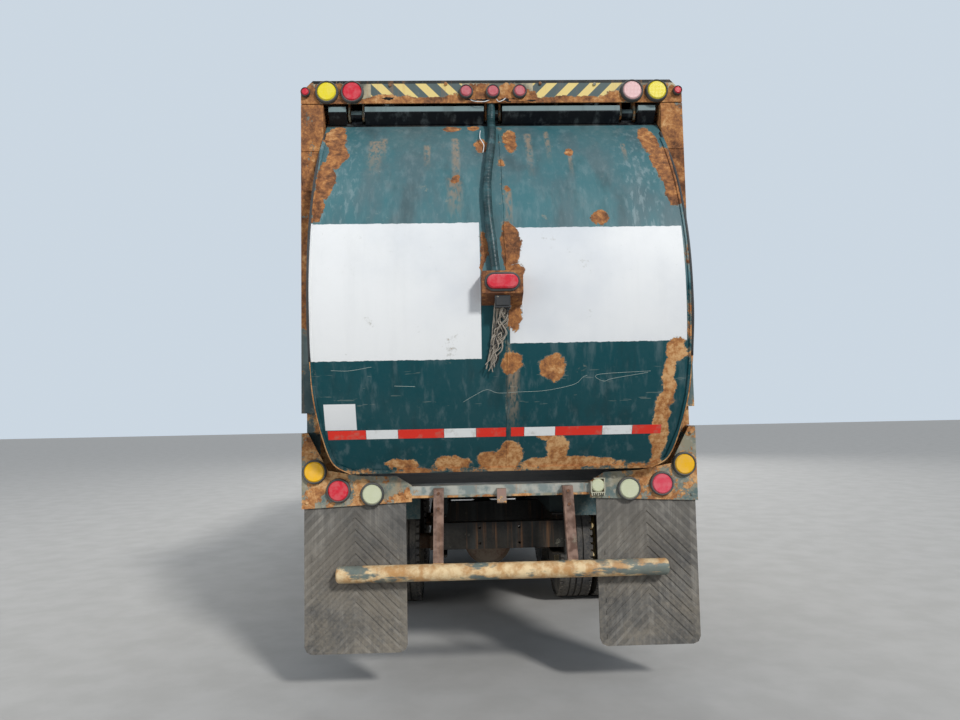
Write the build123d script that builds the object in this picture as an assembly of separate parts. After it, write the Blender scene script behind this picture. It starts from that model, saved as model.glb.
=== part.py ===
from build123d import *
from math import cos, hypot, radians, sin, sqrt, tan
import os

# Front-loading garbage truck, millimetres, stood on its tyres.
# X is the truck's right seen from behind, Y points to the front, Z is up.
# Lengths along the truck are stations, measured forward from the rear faces of the tailgate posts.
# The finished pieces are moved back so that the origin is on the ground under the middle of the truck.

ORIGIN_STATION = 4753

# Overall
OVERALL_WIDTH = 2440
HALF_WIDTH = OVERALL_WIDTH / 2
RUNNING_CLEARANCE = 0.05
SEAT_GAP = 0.3
MOVING_GAP = 5

# Chassis frame
RAIL_OUTER_X = 430
RAIL_FLANGE = 85
RAIL_WALL = 10
RAIL_TOP_Z = 1040
RAIL_DEPTH = 270
RAIL_REAR_STATION = 300
RAIL_FRONT_STATION = 9290
CROSSMEMBER_STATIONS = (340, 1450, 3025, 4700, 6300, 9200)
CROSSMEMBER_DEPTH = 170
CROSSMEMBER_LENGTH = 80
HITCH_SPACING_X = 260
HITCH_SPACING_Z = 100
HITCH_HOLE_RADIUS = 9

# Tyres and wheels
REAR_TYRE_RADIUS = 525
REAR_TYRE_WIDTH = 279
FRONT_TYRE_RADIUS = 540
FRONT_TYRE_WIDTH = 310
DUAL_SPACING = 330
DUAL_CENTRE_X = HALF_WIDTH - REAR_TYRE_WIDTH / 2 - DUAL_SPACING / 2
FRONT_WHEEL_INSET = 190
FRONT_WHEEL_X = HALF_WIDTH - FRONT_WHEEL_INSET
BEAD_RADIUS = 286
RIM_WALL = 12
RIM_WIDTH = 210
RIM_FLANGE = 16
DISC_WALL = 14
HUB_RADIUS = 112
HUB_LENGTH = 190
SPINDLE_RADIUS = 45
DRUM_RADIUS = 205
DRUM_LENGTH = 150

# Axles
REAR_AXLE_STATIONS = (2350, 3700)
FRONT_AXLE_STATION = 7800
AXLE_TUBE_RADIUS = 70
DIFFERENTIAL_RADIUS = 215
KINGPIN_OFFSET = 180
KINGPIN_X = FRONT_WHEEL_X - KINGPIN_OFFSET
KINGPIN_RADIUS = 22
BEAM_BOSS_RADIUS = 50
BEAM_BOSS_HEIGHT = 110
BEAM_DROP = 110
STEERING_SPINDLE_RADIUS = 40
STEERING_ANGLE = 30
SPRING_WIDTH = 85
SPRING_X = 490

# Lamp canopy over the tailgate
LIGHT_BAR_TOP_Z = 3830
LIGHT_BAR_HEIGHT = 148
LIGHT_BAR_BOTTOM_Z = LIGHT_BAR_TOP_Z - LIGHT_BAR_HEIGHT
LIGHT_BAR_CHAMFER = 75
LIGHT_BAR_DEPTH = 420
LIGHT_BAR_PLATE = 10
LIGHT_BAR_CLEARANCE = 7
RIB_THICKNESS = 12
RIB_X = (0, 440, HALF_WIDTH - 230)

# Tanks
FUEL_TANK_STATIONS = (5150, 6450)
FUEL_TANK_X = 745
FUEL_TANK_Z = 735
FUEL_TANK_RADIUS = 300
OIL_TANK_STATIONS = (5250, 6100)
OIL_TANK_X = 1080
OIL_TANK_Z = (480, 1020)

# Load body
BODY_REAR_STATION = 200
BODY_FRONT_STATION = 4600
BODY_WALL = 50
BODY_FLOOR_Z = 1190
BODY_ROOF_Z = LIGHT_BAR_BOTTOM_Z - 22
BODY_EAVES_Z = BODY_ROOF_Z - 100
BODY_SIDE_X = HALF_WIDTH - 35
BODY_FOOT_X = BODY_SIDE_X - 145
BODY_EAVES_X = BODY_SIDE_X - 95

# Hopper
HOPPER_FRONT_STATION = 6600
HOPPER_STEP = 110
HOPPER_HALF_WIDTH = BODY_SIDE_X - HOPPER_STEP
HOPPER_WALL = 45
HOPPER_SILL_Z = 3060
HOPPER_SLOPE_LENGTH = 560
HOPPER_SLOPE_Z = BODY_ROOF_Z - 220
HOPPER_RIB_STATIONS = (4860, 5660, 6120)
HOPPER_RIB_WIDTH = 90
HOPPER_RIB_HEIGHT = 24
PACKER_STATION = 6330
PACKER_RIB_X = (-760, -380, 0, 380, 760)
PACKER_TOP_Z = 2500
PACKER_TRAVEL = 1700

# Body side ladder and fender decks
LADDER_STATION = 900
LADDER_WIDTH = 420
LADDER_RUNGS = 8

# Rear frame
POST_WIDTH = 140
POST_DEPTH = 165
POST_BOTTOM_Z = 1722
POST_TOP_Z = LIGHT_BAR_BOTTOM_Z - LIGHT_BAR_CLEARANCE
POST_PLATE = 12
POST_FOOT_INSET = 28

# Tailgate
TAILGATE_HINGE = (100, POST_TOP_Z - 35)
TAILGATE_TOP = (100, TAILGATE_HINGE[1] - 50)
TAILGATE_CREST = (-420, TAILGATE_TOP[1] - 1230)
TAILGATE_LIP = (-69, 1352)
TAILGATE_WALL = 60
TAILGATE_RIM_STATION = -MOVING_GAP - 1
TAILGATE_LUG_RADIUS = 34
TAILGATE_PIN_RADIUS = 20
TAILGATE_OPENING = 80
TAILGATE_OUTER_HINGE_X = HALF_WIDTH - 340
TAILGATE_HINGE_X = (-TAILGATE_OUTER_HINGE_X, 0, TAILGATE_OUTER_HINGE_X)
TAILGATE_EDGE = (
    # share of the height from the lip up, distance in from the truck's side
    (1.0, 152), (0.93, 149), (0.78, 132), (0.60, 122), (0.42, 120), (0.29, 123), (0.20, 130),
    (0.11, 158), (0.03, 208), (0.0, 308),
)
TAILGATE_EDGE_BAR_HEIGHT = 9
TAILGATE_EDGE_BAR_WIDTH = 22
TAILGATE_EDGE_BAR_TOP_Z = TAILGATE_TOP[1] - 170
TAILGATE_RAIL_REACH = 82
TAILGATE_RAIL_RISE = 28
TAILGATE_RAIL_END = 30
TAILGATE_RAIL_NOTCH = 60

# Tailgate cylinders
TAILGATE_HORN_RADIUS = 132
TAILGATE_HORN_ANGLE = 25
TAILGATE_HORN_SLOT_Z = TAILGATE_HINGE[1] - 15
TAILGATE_HORN_X = TAILGATE_OUTER_HINGE_X - 180
TAILGATE_CYLINDER_BASE = (1250, TAILGATE_HINGE[1] + 95)
TAILGATE_BARREL_RADIUS = 34
TAILGATE_ROD_RADIUS = 18

# Rear crossing pieces
SILL_BOTTOM_Z = 1190
SILL_TOP_Z = 1262
LAMP_PLATE_INNER_X = 550
LAMP_PLATE_BOTTOM_Z = 1140
LAMP_PLATE_TOP_Z = 1600
FENDER_TOP_Z = 1150

# Lamps; those in pairs are given for the right and mirrored
LAMP_DEPTH = 26
BAR_LAMP_Z = LIGHT_BAR_BOTTOM_Z + 70
BAR_AMBER_LAMP = (HALF_WIDTH - 165, BAR_LAMP_Z, 60)
BAR_RED_LAMP = (HALF_WIDTH - 325, BAR_LAMP_Z, 60)
BAR_CORNER_LAMP = (HALF_WIDTH - 30, BAR_LAMP_Z, 24)
BAR_CENTRE_SPACING = 172
BAR_CENTRE_RADIUS = 36
PLATE_RED_LAMP = (HALF_WIDTH - 225, 1248, 62)
PLATE_AMBER_LAMP = (HALF_WIDTH - 80, 1365, 62)
PLATE_CLEAR_LAMP = (HALF_WIDTH - 430, 1222, 60)
WORK_LAMP = (595, 1246, 40)
HEADLAMP = (800, 665, 85)
HIGH_LAMP_WIDTH = 172
HIGH_LAMP_HEIGHT = 78
LAMP_BOX_WIDTH = 230
LAMP_BOX_Z = (TAILGATE_CREST[1] + 5, TAILGATE_CREST[1] + 130)
LAMP_BOX_STATION = TAILGATE_CREST[0] - 115
CONDUIT_RADIUS = 27
CONDUIT_STAND = 5
CONDUIT_ROUTE = (
    # x, height over the crest
    (-14, 1140), (-22, 1020), (-48, 840), (-66, 660), (-62, 480), (-46, 300), (-30, 131),
)

# Underride guard
GUARD_Z = 752
GUARD_RADIUS = 50
GUARD_HALF_LENGTH = 1005
GUARD_STATION = -45
GUARD_STRAPS = (
    # x at the bar, x at the sill: the right strap is knocked askew
    (-394, -384), (430, 406),
)
GUARD_STRAP_WIDTH = 62
GUARD_STRAP_DEPTH = 50

# Mudflaps
FLAP_WIDTH = 620
FLAP_BOTTOM_Z = 270
FLAP_TOP_Z = 1225
FLAP_THICKNESS = 14
FLAP_CORNER = 45
FLAP_RIB_PITCH = 72
FLAP_RIB_WIDTH = 26
FLAP_RIB_HEIGHT = 5
FLAP_RIB_MARGIN = 45

# Cab
CAB_REAR_STATION = 7200
CAB_FRONT_STATION = 9390
ARM_INNER_X = HOPPER_HALF_WIDTH + 30
CAB_HALF_WIDTH = ARM_INNER_X - 55
CAB_WALL = 42
CAB_CORNER = 60
CAB_FLOOR_Z = 1100
CAB_ARCH_Z = 1180
ARCH_FRONT_STATION = 8480
CAB_SKIRT_Z = 880
CAB_ROOF_Z = 2850
WINDSCREEN_BASE_Z = 1700
WINDSCREEN_TOP = (9215, 2690)
WINDSCREEN_OPENING_Z = (1770, 2600)
WINDSCREEN_HALF_WIDTH = CAB_HALF_WIDTH - 110
BACK_WINDOW_X = 520
BACK_WINDOW_Z = (1950, 2450)
DOOR_REAR_STATION = 8500
DOOR_FRONT_STATION = 9265
DOOR_BOTTOM_Z = 1060
DOOR_TOP_Z = 2610
DOOR_SLANT_Z = 1720
DOOR_TOP_FRONT_STATION = 9125
DOOR_THICKNESS = 45
DOOR_GAP = 8
DOOR_SWING = 75
WINDOW_SILL_Z = 1770
WINDOW_FRAME = 85
DOOR_HINGE = (CAB_HALF_WIDTH + 22, DOOR_FRONT_STATION + 27)
DOOR_HINGE_HEIGHTS = (1250, 1620)
DOOR_PIN_RADIUS = 11
GLASS_THICKNESS = 8
SEAT_X = 560
SEAT_HALF_WIDTH = 235
SEAT_REAR_STATION = 7960
DASH_HALF_WIDTH = CAB_HALF_WIDTH - 120
DASH_DEPTH = 308
DASH_Z = (1440, 1720)
EXHAUST_X = -820
EXHAUST_STATION = CAB_REAR_STATION - 115
EXHAUST_Z = (1250, 1700, 2600, 3050)

# Nose
BUMPER_STATION = (9400, 9560)
BUMPER_Z = (450, 870)
TOW_EYE = (9610, 790)
TOW_EYE_X = 387
TOW_EYE_BORE = 26
TOW_EYE_THICKNESS = 30
GRILLE_Z = (1130, 1610)
GRILLE_HALF_WIDTH = 560
GRILLE_SLATS = 8

# Lift arms
ARM_PIVOT = (6870, 1800)
ARM_WIDTH = 100
ARM_CROWN_Z = 2925
ARM_ARCH_Z = 2680
ARM_OUTER_BEND = 640
ARM_INNER_BEND = 420
ARM_HUB_RADIUS = 150
ARM_END_RADIUS = 80
ARM_LUG_THICKNESS = 24
ARM_RAISE = 105
TORQUE_TUBE_RADIUS = 90
FORK_PIVOT = (9905, 950)
FORK_SHAFT_RADIUS = 52
FORK_STUB_RADIUS = 40
FORK_X = ARM_INNER_X - 145
FORK_WIDTH = 70
FORK_LENGTH = 1150
FORK_LEAN = 94
FORK_SWING = 104

# Lift cylinders
LIFT_BASE = (5300, 1360)
LIFT_CYLINDER_X = ARM_INNER_X + 60
LIFT_BARREL_RADIUS = 50
LIFT_ROD_RADIUS = 28
LIFT_PIN_RADIUS = 20
FORK_PIN_RADIUS = 14
TAILGATE_CYLINDER_PIN_RADIUS = 12
LIFT_LUG_RADIUS = 420
LIFT_LUG_ANGLE = 215
FORK_CYLINDER_BASE = (9965, 2350)
FORK_CYLINDER_X = ARM_INNER_X + 50
FORK_BARREL_RADIUS = 36
FORK_ROD_RADIUS = 21
FORK_CRANK_RADIUS = 200
FORK_CRANK_ANGLE = 50
FORK_CRANK_THICKNESS = 24


def block(x0, x1, s0, s1, z0, z1):
    """A box between two corners."""
    centre = Pos((x0 + x1) / 2, (s0 + s1) / 2, (z0 + z1) / 2)
    return centre * Box(abs(x1 - x0), abs(s1 - s0), abs(z1 - z0))


def bar_x(x0, x1, station, z, radius):
    """A round bar along X."""
    centre = Pos((x0 + x1) / 2, station, z)
    return centre * Rot(0, 90, 0) * Cylinder(radius, abs(x1 - x0))


def bar_y(s0, s1, x, z, radius):
    """A round bar along the truck."""
    centre = Pos(x, (s0 + s1) / 2, z)
    return centre * Rot(90, 0, 0) * Cylinder(radius, abs(s1 - s0))


def bar_z(z0, z1, x, station, radius):
    """An upright round bar."""
    return Pos(x, station, (z0 + z1) / 2) * Cylinder(radius, abs(z1 - z0))


def bar_between(x, start, end, radius):
    """A round bar at one X between two (station, z) points."""
    run = (end[0] - start[0], end[1] - start[1])
    plane = Plane(origin=(x, start[0], start[1]), z_dir=(0, run[0], run[1]))
    return extrude(plane * Circle(radius), amount=hypot(*run))


def side_plate(face_wire, x0, x1):
    """A closed (station, z) outline given thickness along X."""
    face = Plane.YZ.offset(min(x0, x1)) * make_face(face_wire)
    return extrude(face, amount=abs(x1 - x0))


def side_polygon(points, x0, x1):
    """A straight-edged (station, z) outline given thickness along X."""
    return side_plate(Polyline(*points, close=True), x0, x1)


def front_plate(face_wire, s0, s1):
    """A closed (x, z) outline given thickness along the truck."""
    face = Plane.XZ.offset(-min(s0, s1)) * make_face(face_wire)
    return extrude(face, amount=-abs(s1 - s0))


def front_polygon(points, s0, s1):
    """A straight-edged (x, z) outline given thickness along the truck."""
    return front_plate(Polyline(*points, close=True), s0, s1)


def both_sides(shape):
    """A piece and its mirror image on the other side of the truck."""
    return shape + mirror(shape, about=Plane.YZ)


def polar(centre, radius, angle):
    """A (station, z) point; angle from the forward direction towards up."""
    return (centre[0] + radius * cos(radians(angle)), centre[1] + radius * sin(radians(angle)))


def frame_rails():
    web_z = RAIL_TOP_Z - RAIL_DEPTH
    inner = RAIL_OUTER_X - RAIL_FLANGE
    rail = block(inner, RAIL_OUTER_X, RAIL_REAR_STATION, RAIL_FRONT_STATION, web_z, RAIL_TOP_Z)
    rail -= block(
        inner, RAIL_OUTER_X - RAIL_WALL, RAIL_REAR_STATION, RAIL_FRONT_STATION,
        web_z + RAIL_WALL, RAIL_TOP_Z - RAIL_WALL,
    )
    ladder = both_sides(rail)
    reach = RAIL_OUTER_X - RAIL_WALL / 2
    middle_z = RAIL_TOP_Z - RAIL_DEPTH / 2
    for station in CROSSMEMBER_STATIONS:
        ladder += block(
            -reach, reach, station - CROSSMEMBER_LENGTH / 2, station + CROSSMEMBER_LENGTH / 2,
            middle_z - CROSSMEMBER_DEPTH / 2, middle_z + CROSSMEMBER_DEPTH / 2,
        )
    rear = CROSSMEMBER_STATIONS[0]
    for x in (-HITCH_SPACING_X / 2, HITCH_SPACING_X / 2):
        for z in (middle_z - HITCH_SPACING_Z / 2, middle_z + HITCH_SPACING_Z / 2):
            ladder -= bar_y(rear - CROSSMEMBER_LENGTH, rear + CROSSMEMBER_LENGTH, x, z, HITCH_HOLE_RADIUS)
    for side in (-1, 1):
        ladder += block(side * (RAIL_OUTER_X - RAIL_FLANGE), side * RAIL_OUTER_X, RAIL_FRONT_STATION,
                        BUMPER_STATION[0], web_z, CAB_SKIRT_Z - SEAT_GAP)
    return ladder


def rear_axles():
    z = REAR_TYRE_RADIUS
    hub_inner = DUAL_CENTRE_X - HUB_LENGTH / 2
    group = None
    for station in REAR_AXLE_STATIONS:
        axle = bar_x(-hub_inner + 25, hub_inner - 25, station, z, AXLE_TUBE_RADIUS)
        spindle_end = DUAL_CENTRE_X + HUB_LENGTH / 2 - 12
        axle += bar_x(-spindle_end, spindle_end, station, z, SPINDLE_RADIUS)
        housing = bar_y(station - 120, station + 150, 0, z, DIFFERENTIAL_RADIUS)
        axle += chamfer(housing.edges(), 40)
        group = axle if group is None else group + axle
    # Walking beams, trunnion and spring packs between the two axles
    middle = sum(REAR_AXLE_STATIONS) / 2
    first, last = REAR_AXLE_STATIONS
    beam_inner = SPRING_X - SPRING_WIDTH / 2
    beam_outer = SPRING_X + SPRING_WIDTH / 2
    beam = side_polygon(
        [
            (first - 110, z - 70), (last + 110, z - 70), (last + 110, z + 60), (middle + 170, z + 130),
            (middle - 170, z + 130), (first - 110, z + 60),
        ],
        beam_inner, beam_outer,
    )
    leaf_wire = Polyline((first + 60, z + 215), (last - 60, z + 215), (last - 60, z + 243),
                         (middle + 260, z + 300), (middle - 260, z + 300), (first + 60, z + 243), close=True)
    leaf = side_plate(leaf_wire, beam_inner, beam_outer)
    saddle = block(beam_inner, beam_outer, middle - 110, middle + 110, z + 100, z + 230)
    hanger = side_polygon(
        [(middle - 190, RAIL_TOP_Z - 30), (middle + 190, RAIL_TOP_Z - 30), (middle + 90, z + 60),
         (middle - 90, z + 60)],
        RAIL_OUTER_X, beam_inner + 2,
    )
    group += both_sides(beam + leaf + saddle + hanger)
    return group


def front_axle():
    z = FRONT_TYRE_RADIUS
    s = FRONT_AXLE_STATION
    half = BEAM_BOSS_HEIGHT / 2
    web = front_polygon(
        [
            (-KINGPIN_X, z - 40), (-640, z - 45), (-560, z - 40 - BEAM_DROP), (560, z - 40 - BEAM_DROP),
            (640, z - 45), (KINGPIN_X, z - 40), (KINGPIN_X, z + 40), (620, z + 35),
            (530, z + 60 - BEAM_DROP), (-530, z + 60 - BEAM_DROP), (-620, z + 35), (-KINGPIN_X, z + 40),
        ],
        s - 45, s + 45,
    )
    axle = web + both_sides(bar_z(z - half, z + half, KINGPIN_X, s, BEAM_BOSS_RADIUS))
    bore = bar_z(z - half - 1, z + half + 1, KINGPIN_X, s, KINGPIN_RADIUS + RUNNING_CLEARANCE)
    axle -= both_sides(bore)
    # Semi-elliptic springs with a pad on the beam and hangers up to the rails
    low = z + 60 - BEAM_DROP
    leaf_wire = Polyline(
        (s - 620, low + 150), (s - 300, low + 70), (s, low + 40), (s + 300, low + 70), (s + 620, low + 150),
        (s + 620, low + 185), (s + 300, low + 120), (s, low + 105), (s - 300, low + 120), (s - 620, low + 185),
        close=True,
    )
    leaf = side_plate(leaf_wire, SPRING_X - SPRING_WIDTH / 2, SPRING_X + SPRING_WIDTH / 2)
    pad = block(SPRING_X - 50, SPRING_X + 50, s - 60, s + 60, low - 20, low + 60)
    spring = leaf + pad
    for end in (-590, 590):
        spring += block(
            RAIL_OUTER_X, SPRING_X - SPRING_WIDTH / 2 + 3, s + end - 40, s + end + 40,
            low + 140, RAIL_TOP_Z - 60,
        )
    return axle + both_sides(spring)


def knuckle():
    """Right steering knuckle with its kingpin and spindle."""
    z = FRONT_TYRE_RADIUS
    s = FRONT_AXLE_STATION
    half = BEAM_BOSS_HEIGHT / 2
    ear_gap = half + 1
    ear = 36
    web_x = KINGPIN_X + BEAM_BOSS_RADIUS + MOVING_GAP
    body = bar_z(z + ear_gap, z + ear_gap + ear, KINGPIN_X, s, 46)
    body += bar_z(z - ear_gap - ear, z - ear_gap, KINGPIN_X, s, 46)
    body += bar_z(z - ear_gap - ear, z + ear_gap + ear, KINGPIN_X, s, KINGPIN_RADIUS)
    for low in (z + ear_gap, z - ear_gap - ear):
        body += block(KINGPIN_X, web_x + 26, s - 42, s + 42, low, low + ear)
    body += block(web_x, web_x + 26, s - 70, s + 70, z - ear_gap - ear, z + ear_gap + ear)
    body += bar_x(web_x + 20, FRONT_WHEEL_X + 120, s, z, STEERING_SPINDLE_RADIUS)
    # Steering arm reaching back to the tie rod
    arm = block(KINGPIN_X - 26, KINGPIN_X + 26, s - 190, s - 20, z - ear_gap - ear, z - ear_gap - ear + 28)
    return body + arm


def tyre_section(width, radius):
    """Half-round-shouldered tyre outline in (axial, radial) coordinates."""
    half = width / 2
    bead = BEAD_RADIUS
    bead_half = RIM_WIDTH / 2 - 6
    flange = bead + RIM_FLANGE + 2
    shoulder = 34
    crown = radius - shoulder
    return make_face(
        Polyline((-bead_half, bead), (-bead_half, flange), (-half, bead + 105), (-half, crown))
        + ThreePointArc((-half, crown), (-half + shoulder * 0.35, radius - shoulder * 0.35),
                        (-half + shoulder, radius))
        + Line((-half + shoulder, radius), (half - shoulder, radius))
        + ThreePointArc((half - shoulder, radius), (half - shoulder * 0.35, radius - shoulder * 0.35),
                        (half, crown))
        + Polyline((half, crown), (half, bead + 105), (bead_half, flange), (bead_half, bead), (-bead_half, bead))
    )


def tyre(x, station, width, radius):
    ring = revolve(Plane.XY * tyre_section(width, radius), Axis.X, 360)
    return Pos(x, station, radius) * ring


def revolved(points, x, station, z):
    """A solid of revolution about the wheel's axis from (axial, radial) points."""
    ring = revolve(make_face(Polyline(*points, close=True)), Axis.X, 360)
    return Pos(x, station, z) * ring


def rim_barrel(x, station, z):
    """Rim barrel with a flange at each edge."""
    outer = BEAD_RADIUS - SEAT_GAP
    inner = outer - RIM_WALL
    half = RIM_WIDTH / 2
    points = [
        (-half, inner), (half, inner), (half, outer + RIM_FLANGE), (half - 5, outer + RIM_FLANGE),
        (half - 5, outer), (-half + 5, outer), (-half + 5, outer + RIM_FLANGE), (-half, outer + RIM_FLANGE),
    ]
    return revolved(points, x, station, z)


def hand_holes(x, station, z, depth):
    """Cutters for the round holes in a wheel disc."""
    cutters = []
    for turn in range(0, 360, 72):
        place = (x, station + 205 * cos(radians(turn)), z + 205 * sin(radians(turn)))
        cutters.append(bar_x(place[0] - depth / 2, place[0] + depth / 2, place[1], place[2], 30))
    return cutters


def dual_wheel(station):
    """Right pair of rear rims, bolted back to back on one hub, with the brake drum inside."""
    z = REAR_TYRE_RADIUS
    x = DUAL_CENTRE_X
    bore = SPINDLE_RADIUS + RUNNING_CLEARANCE
    inner = BEAD_RADIUS - SEAT_GAP - RIM_WALL
    wheel = rim_barrel(x - DUAL_SPACING / 2, station, z) + rim_barrel(x + DUAL_SPACING / 2, station, z)
    offset = DUAL_SPACING / 2 - RIM_WIDTH / 2
    disc = [
        (-DISC_WALL, HUB_RADIUS - 20), (DISC_WALL, HUB_RADIUS - 20), (DISC_WALL, 150),
        (offset + DISC_WALL, inner + 2), (offset, inner + 2), (offset - 4, inner - 24), (0, 172),
        (4 - offset, inner - 24), (-offset, inner + 2), (-offset - DISC_WALL, inner + 2), (-DISC_WALL, 150),
    ]
    wheel += revolved(disc, x, station, z)
    for cutter in hand_holes(x, station, z, 240):
        wheel -= cutter
    hub_out = HUB_LENGTH / 2
    hub = [
        (-hub_out, bore), (-hub_out, 95), (-DISC_WALL - 6, HUB_RADIUS), (DISC_WALL + 6, HUB_RADIUS),
        (DISC_WALL + 8, 84), (hub_out - 14, 78), (hub_out, 66), (hub_out, bore),
    ]
    wheel += revolved(hub, x, station, z)
    drum = [
        (-hub_out + 6, 90), (-DISC_WALL - 22, 90), (-DISC_WALL - 22, 150), (-DISC_WALL - 40, DRUM_RADIUS),
        (-DISC_WALL - 40 - DRUM_LENGTH, DRUM_RADIUS), (-DISC_WALL - 40 - DRUM_LENGTH, DRUM_RADIUS - 16),
        (-DISC_WALL - 56, DRUM_RADIUS - 16), (-DISC_WALL - 56, 112), (-hub_out + 6, 112),
    ]
    return wheel + revolved(drum, x, station, z)


def front_wheel():
    """Right front rim with its outward disc and hub."""
    z = FRONT_TYRE_RADIUS
    x = FRONT_WHEEL_X
    s = FRONT_AXLE_STATION
    bore = STEERING_SPINDLE_RADIUS + RUNNING_CLEARANCE
    inner = BEAD_RADIUS - SEAT_GAP - RIM_WALL
    wheel = rim_barrel(x, s, z)
    disc = [
        (70, 90), (70 + DISC_WALL, 90), (70 + DISC_WALL, 150), (42 + DISC_WALL, inner + 2), (42, inner + 2),
        (70, 150),
    ]
    wheel += revolved(disc, x, s, z)
    for cutter in hand_holes(x + 60, s, z, 90):
        wheel -= cutter
    hub = [
        (-62, bore), (-62, 92), (60, 104), (70 + DISC_WALL, 104), (90, 84), (118, 80), (130, 66), (130, 0),
        (122, 0), (122, bore),
    ]
    return wheel + revolved(hub, x, s, z)


def driveline():
    """Engine and gearbox as one plain block, with the shaft back to the axles."""
    block_part = block(-330, 330, 7350, 8250, 700, 1085)
    gearbox = block(-230, 230, 6700, 7360, 660, 1000)
    rear = REAR_AXLE_STATIONS[1]
    shaft_plane = Plane(origin=(0, rear + 140, REAR_TYRE_RADIUS + 60), z_dir=(0, 6710 - rear - 140, 150))
    shaft = extrude(shaft_plane * Circle(55), amount=hypot(6710 - rear - 140, 150))
    between = bar_y(REAR_AXLE_STATIONS[0] + 130, rear - 100, 0, REAR_TYRE_RADIUS + 20, 50)
    axles = rear_axles()
    return [block_part + gearbox, shaft - axles, between - axles]


def tanks():
    """Round fuel tank on the right, square hydraulic tank on the left."""
    s0, s1 = FUEL_TANK_STATIONS
    fuel = bar_y(s0, s1, FUEL_TANK_X, FUEL_TANK_Z, FUEL_TANK_RADIUS)
    fuel = chamfer(fuel.edges(), 25)
    for station in (s0 + 230, s1 - 230):
        fuel += block(RAIL_OUTER_X, FUEL_TANK_X - 185, station - 30, station + 30, FUEL_TANK_Z - 35,
                      RAIL_TOP_Z - 40)
    oil = block(-OIL_TANK_X, -RAIL_OUTER_X, *OIL_TANK_STATIONS, *OIL_TANK_Z)
    oil = chamfer(oil.edges().filter_by(Axis.Y), 40)
    return fuel, oil


def body_outline(inset):
    """Load body cross-section (x, z) with rolled sides and a crowned roof."""
    foot_x = BODY_FOOT_X - inset
    floor_z = BODY_FLOOR_Z + inset
    eaves_x = BODY_EAVES_X - inset
    eaves_z = BODY_EAVES_Z - inset * 0.6
    side_z = (BODY_FLOOR_Z + BODY_EAVES_Z) / 2
    side_x = BODY_SIDE_X - inset
    return (
        Line((-foot_x, floor_z), (foot_x, floor_z))
        + ThreePointArc((foot_x, floor_z), (side_x, side_z), (eaves_x, eaves_z))
        + ThreePointArc((eaves_x, eaves_z), (0, BODY_ROOF_Z - inset), (-eaves_x, eaves_z))
        + ThreePointArc((-eaves_x, eaves_z), (-side_x, side_z), (-foot_x, floor_z))
    )


def body_panels():
    """Floor, side walls and roof of the load body, cut from one rolled shell."""
    shell = front_plate(body_outline(0), BODY_REAR_STATION, BODY_FRONT_STATION)
    shell -= front_plate(body_outline(BODY_WALL), BODY_REAR_STATION - 1, BODY_FRONT_STATION + 1)
    reach = HALF_WIDTH + 100
    low = BODY_FLOOR_Z + BODY_WALL
    high = BODY_EAVES_Z - BODY_WALL
    span = (BODY_REAR_STATION - 10, BODY_FRONT_STATION + 10)
    floor = shell & block(-reach, reach, *span, BODY_FLOOR_Z - 10, low)
    roof = shell & block(-reach, reach, *span, high, BODY_ROOF_Z + 50)
    sides = shell & block(-reach, reach, *span, low, high)
    # Subframe rails carry the floor on the chassis
    for side in (-1, 1):
        floor += block(side * 340, side * 430, BODY_REAR_STATION + 160, HOPPER_FRONT_STATION,
                       RAIL_TOP_Z, BODY_FLOOR_Z)
    floor += block(-HOPPER_HALF_WIDTH, HOPPER_HALF_WIDTH, BODY_FRONT_STATION, HOPPER_FRONT_STATION,
                   BODY_FLOOR_Z, low)
    return floor, sides, roof


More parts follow.
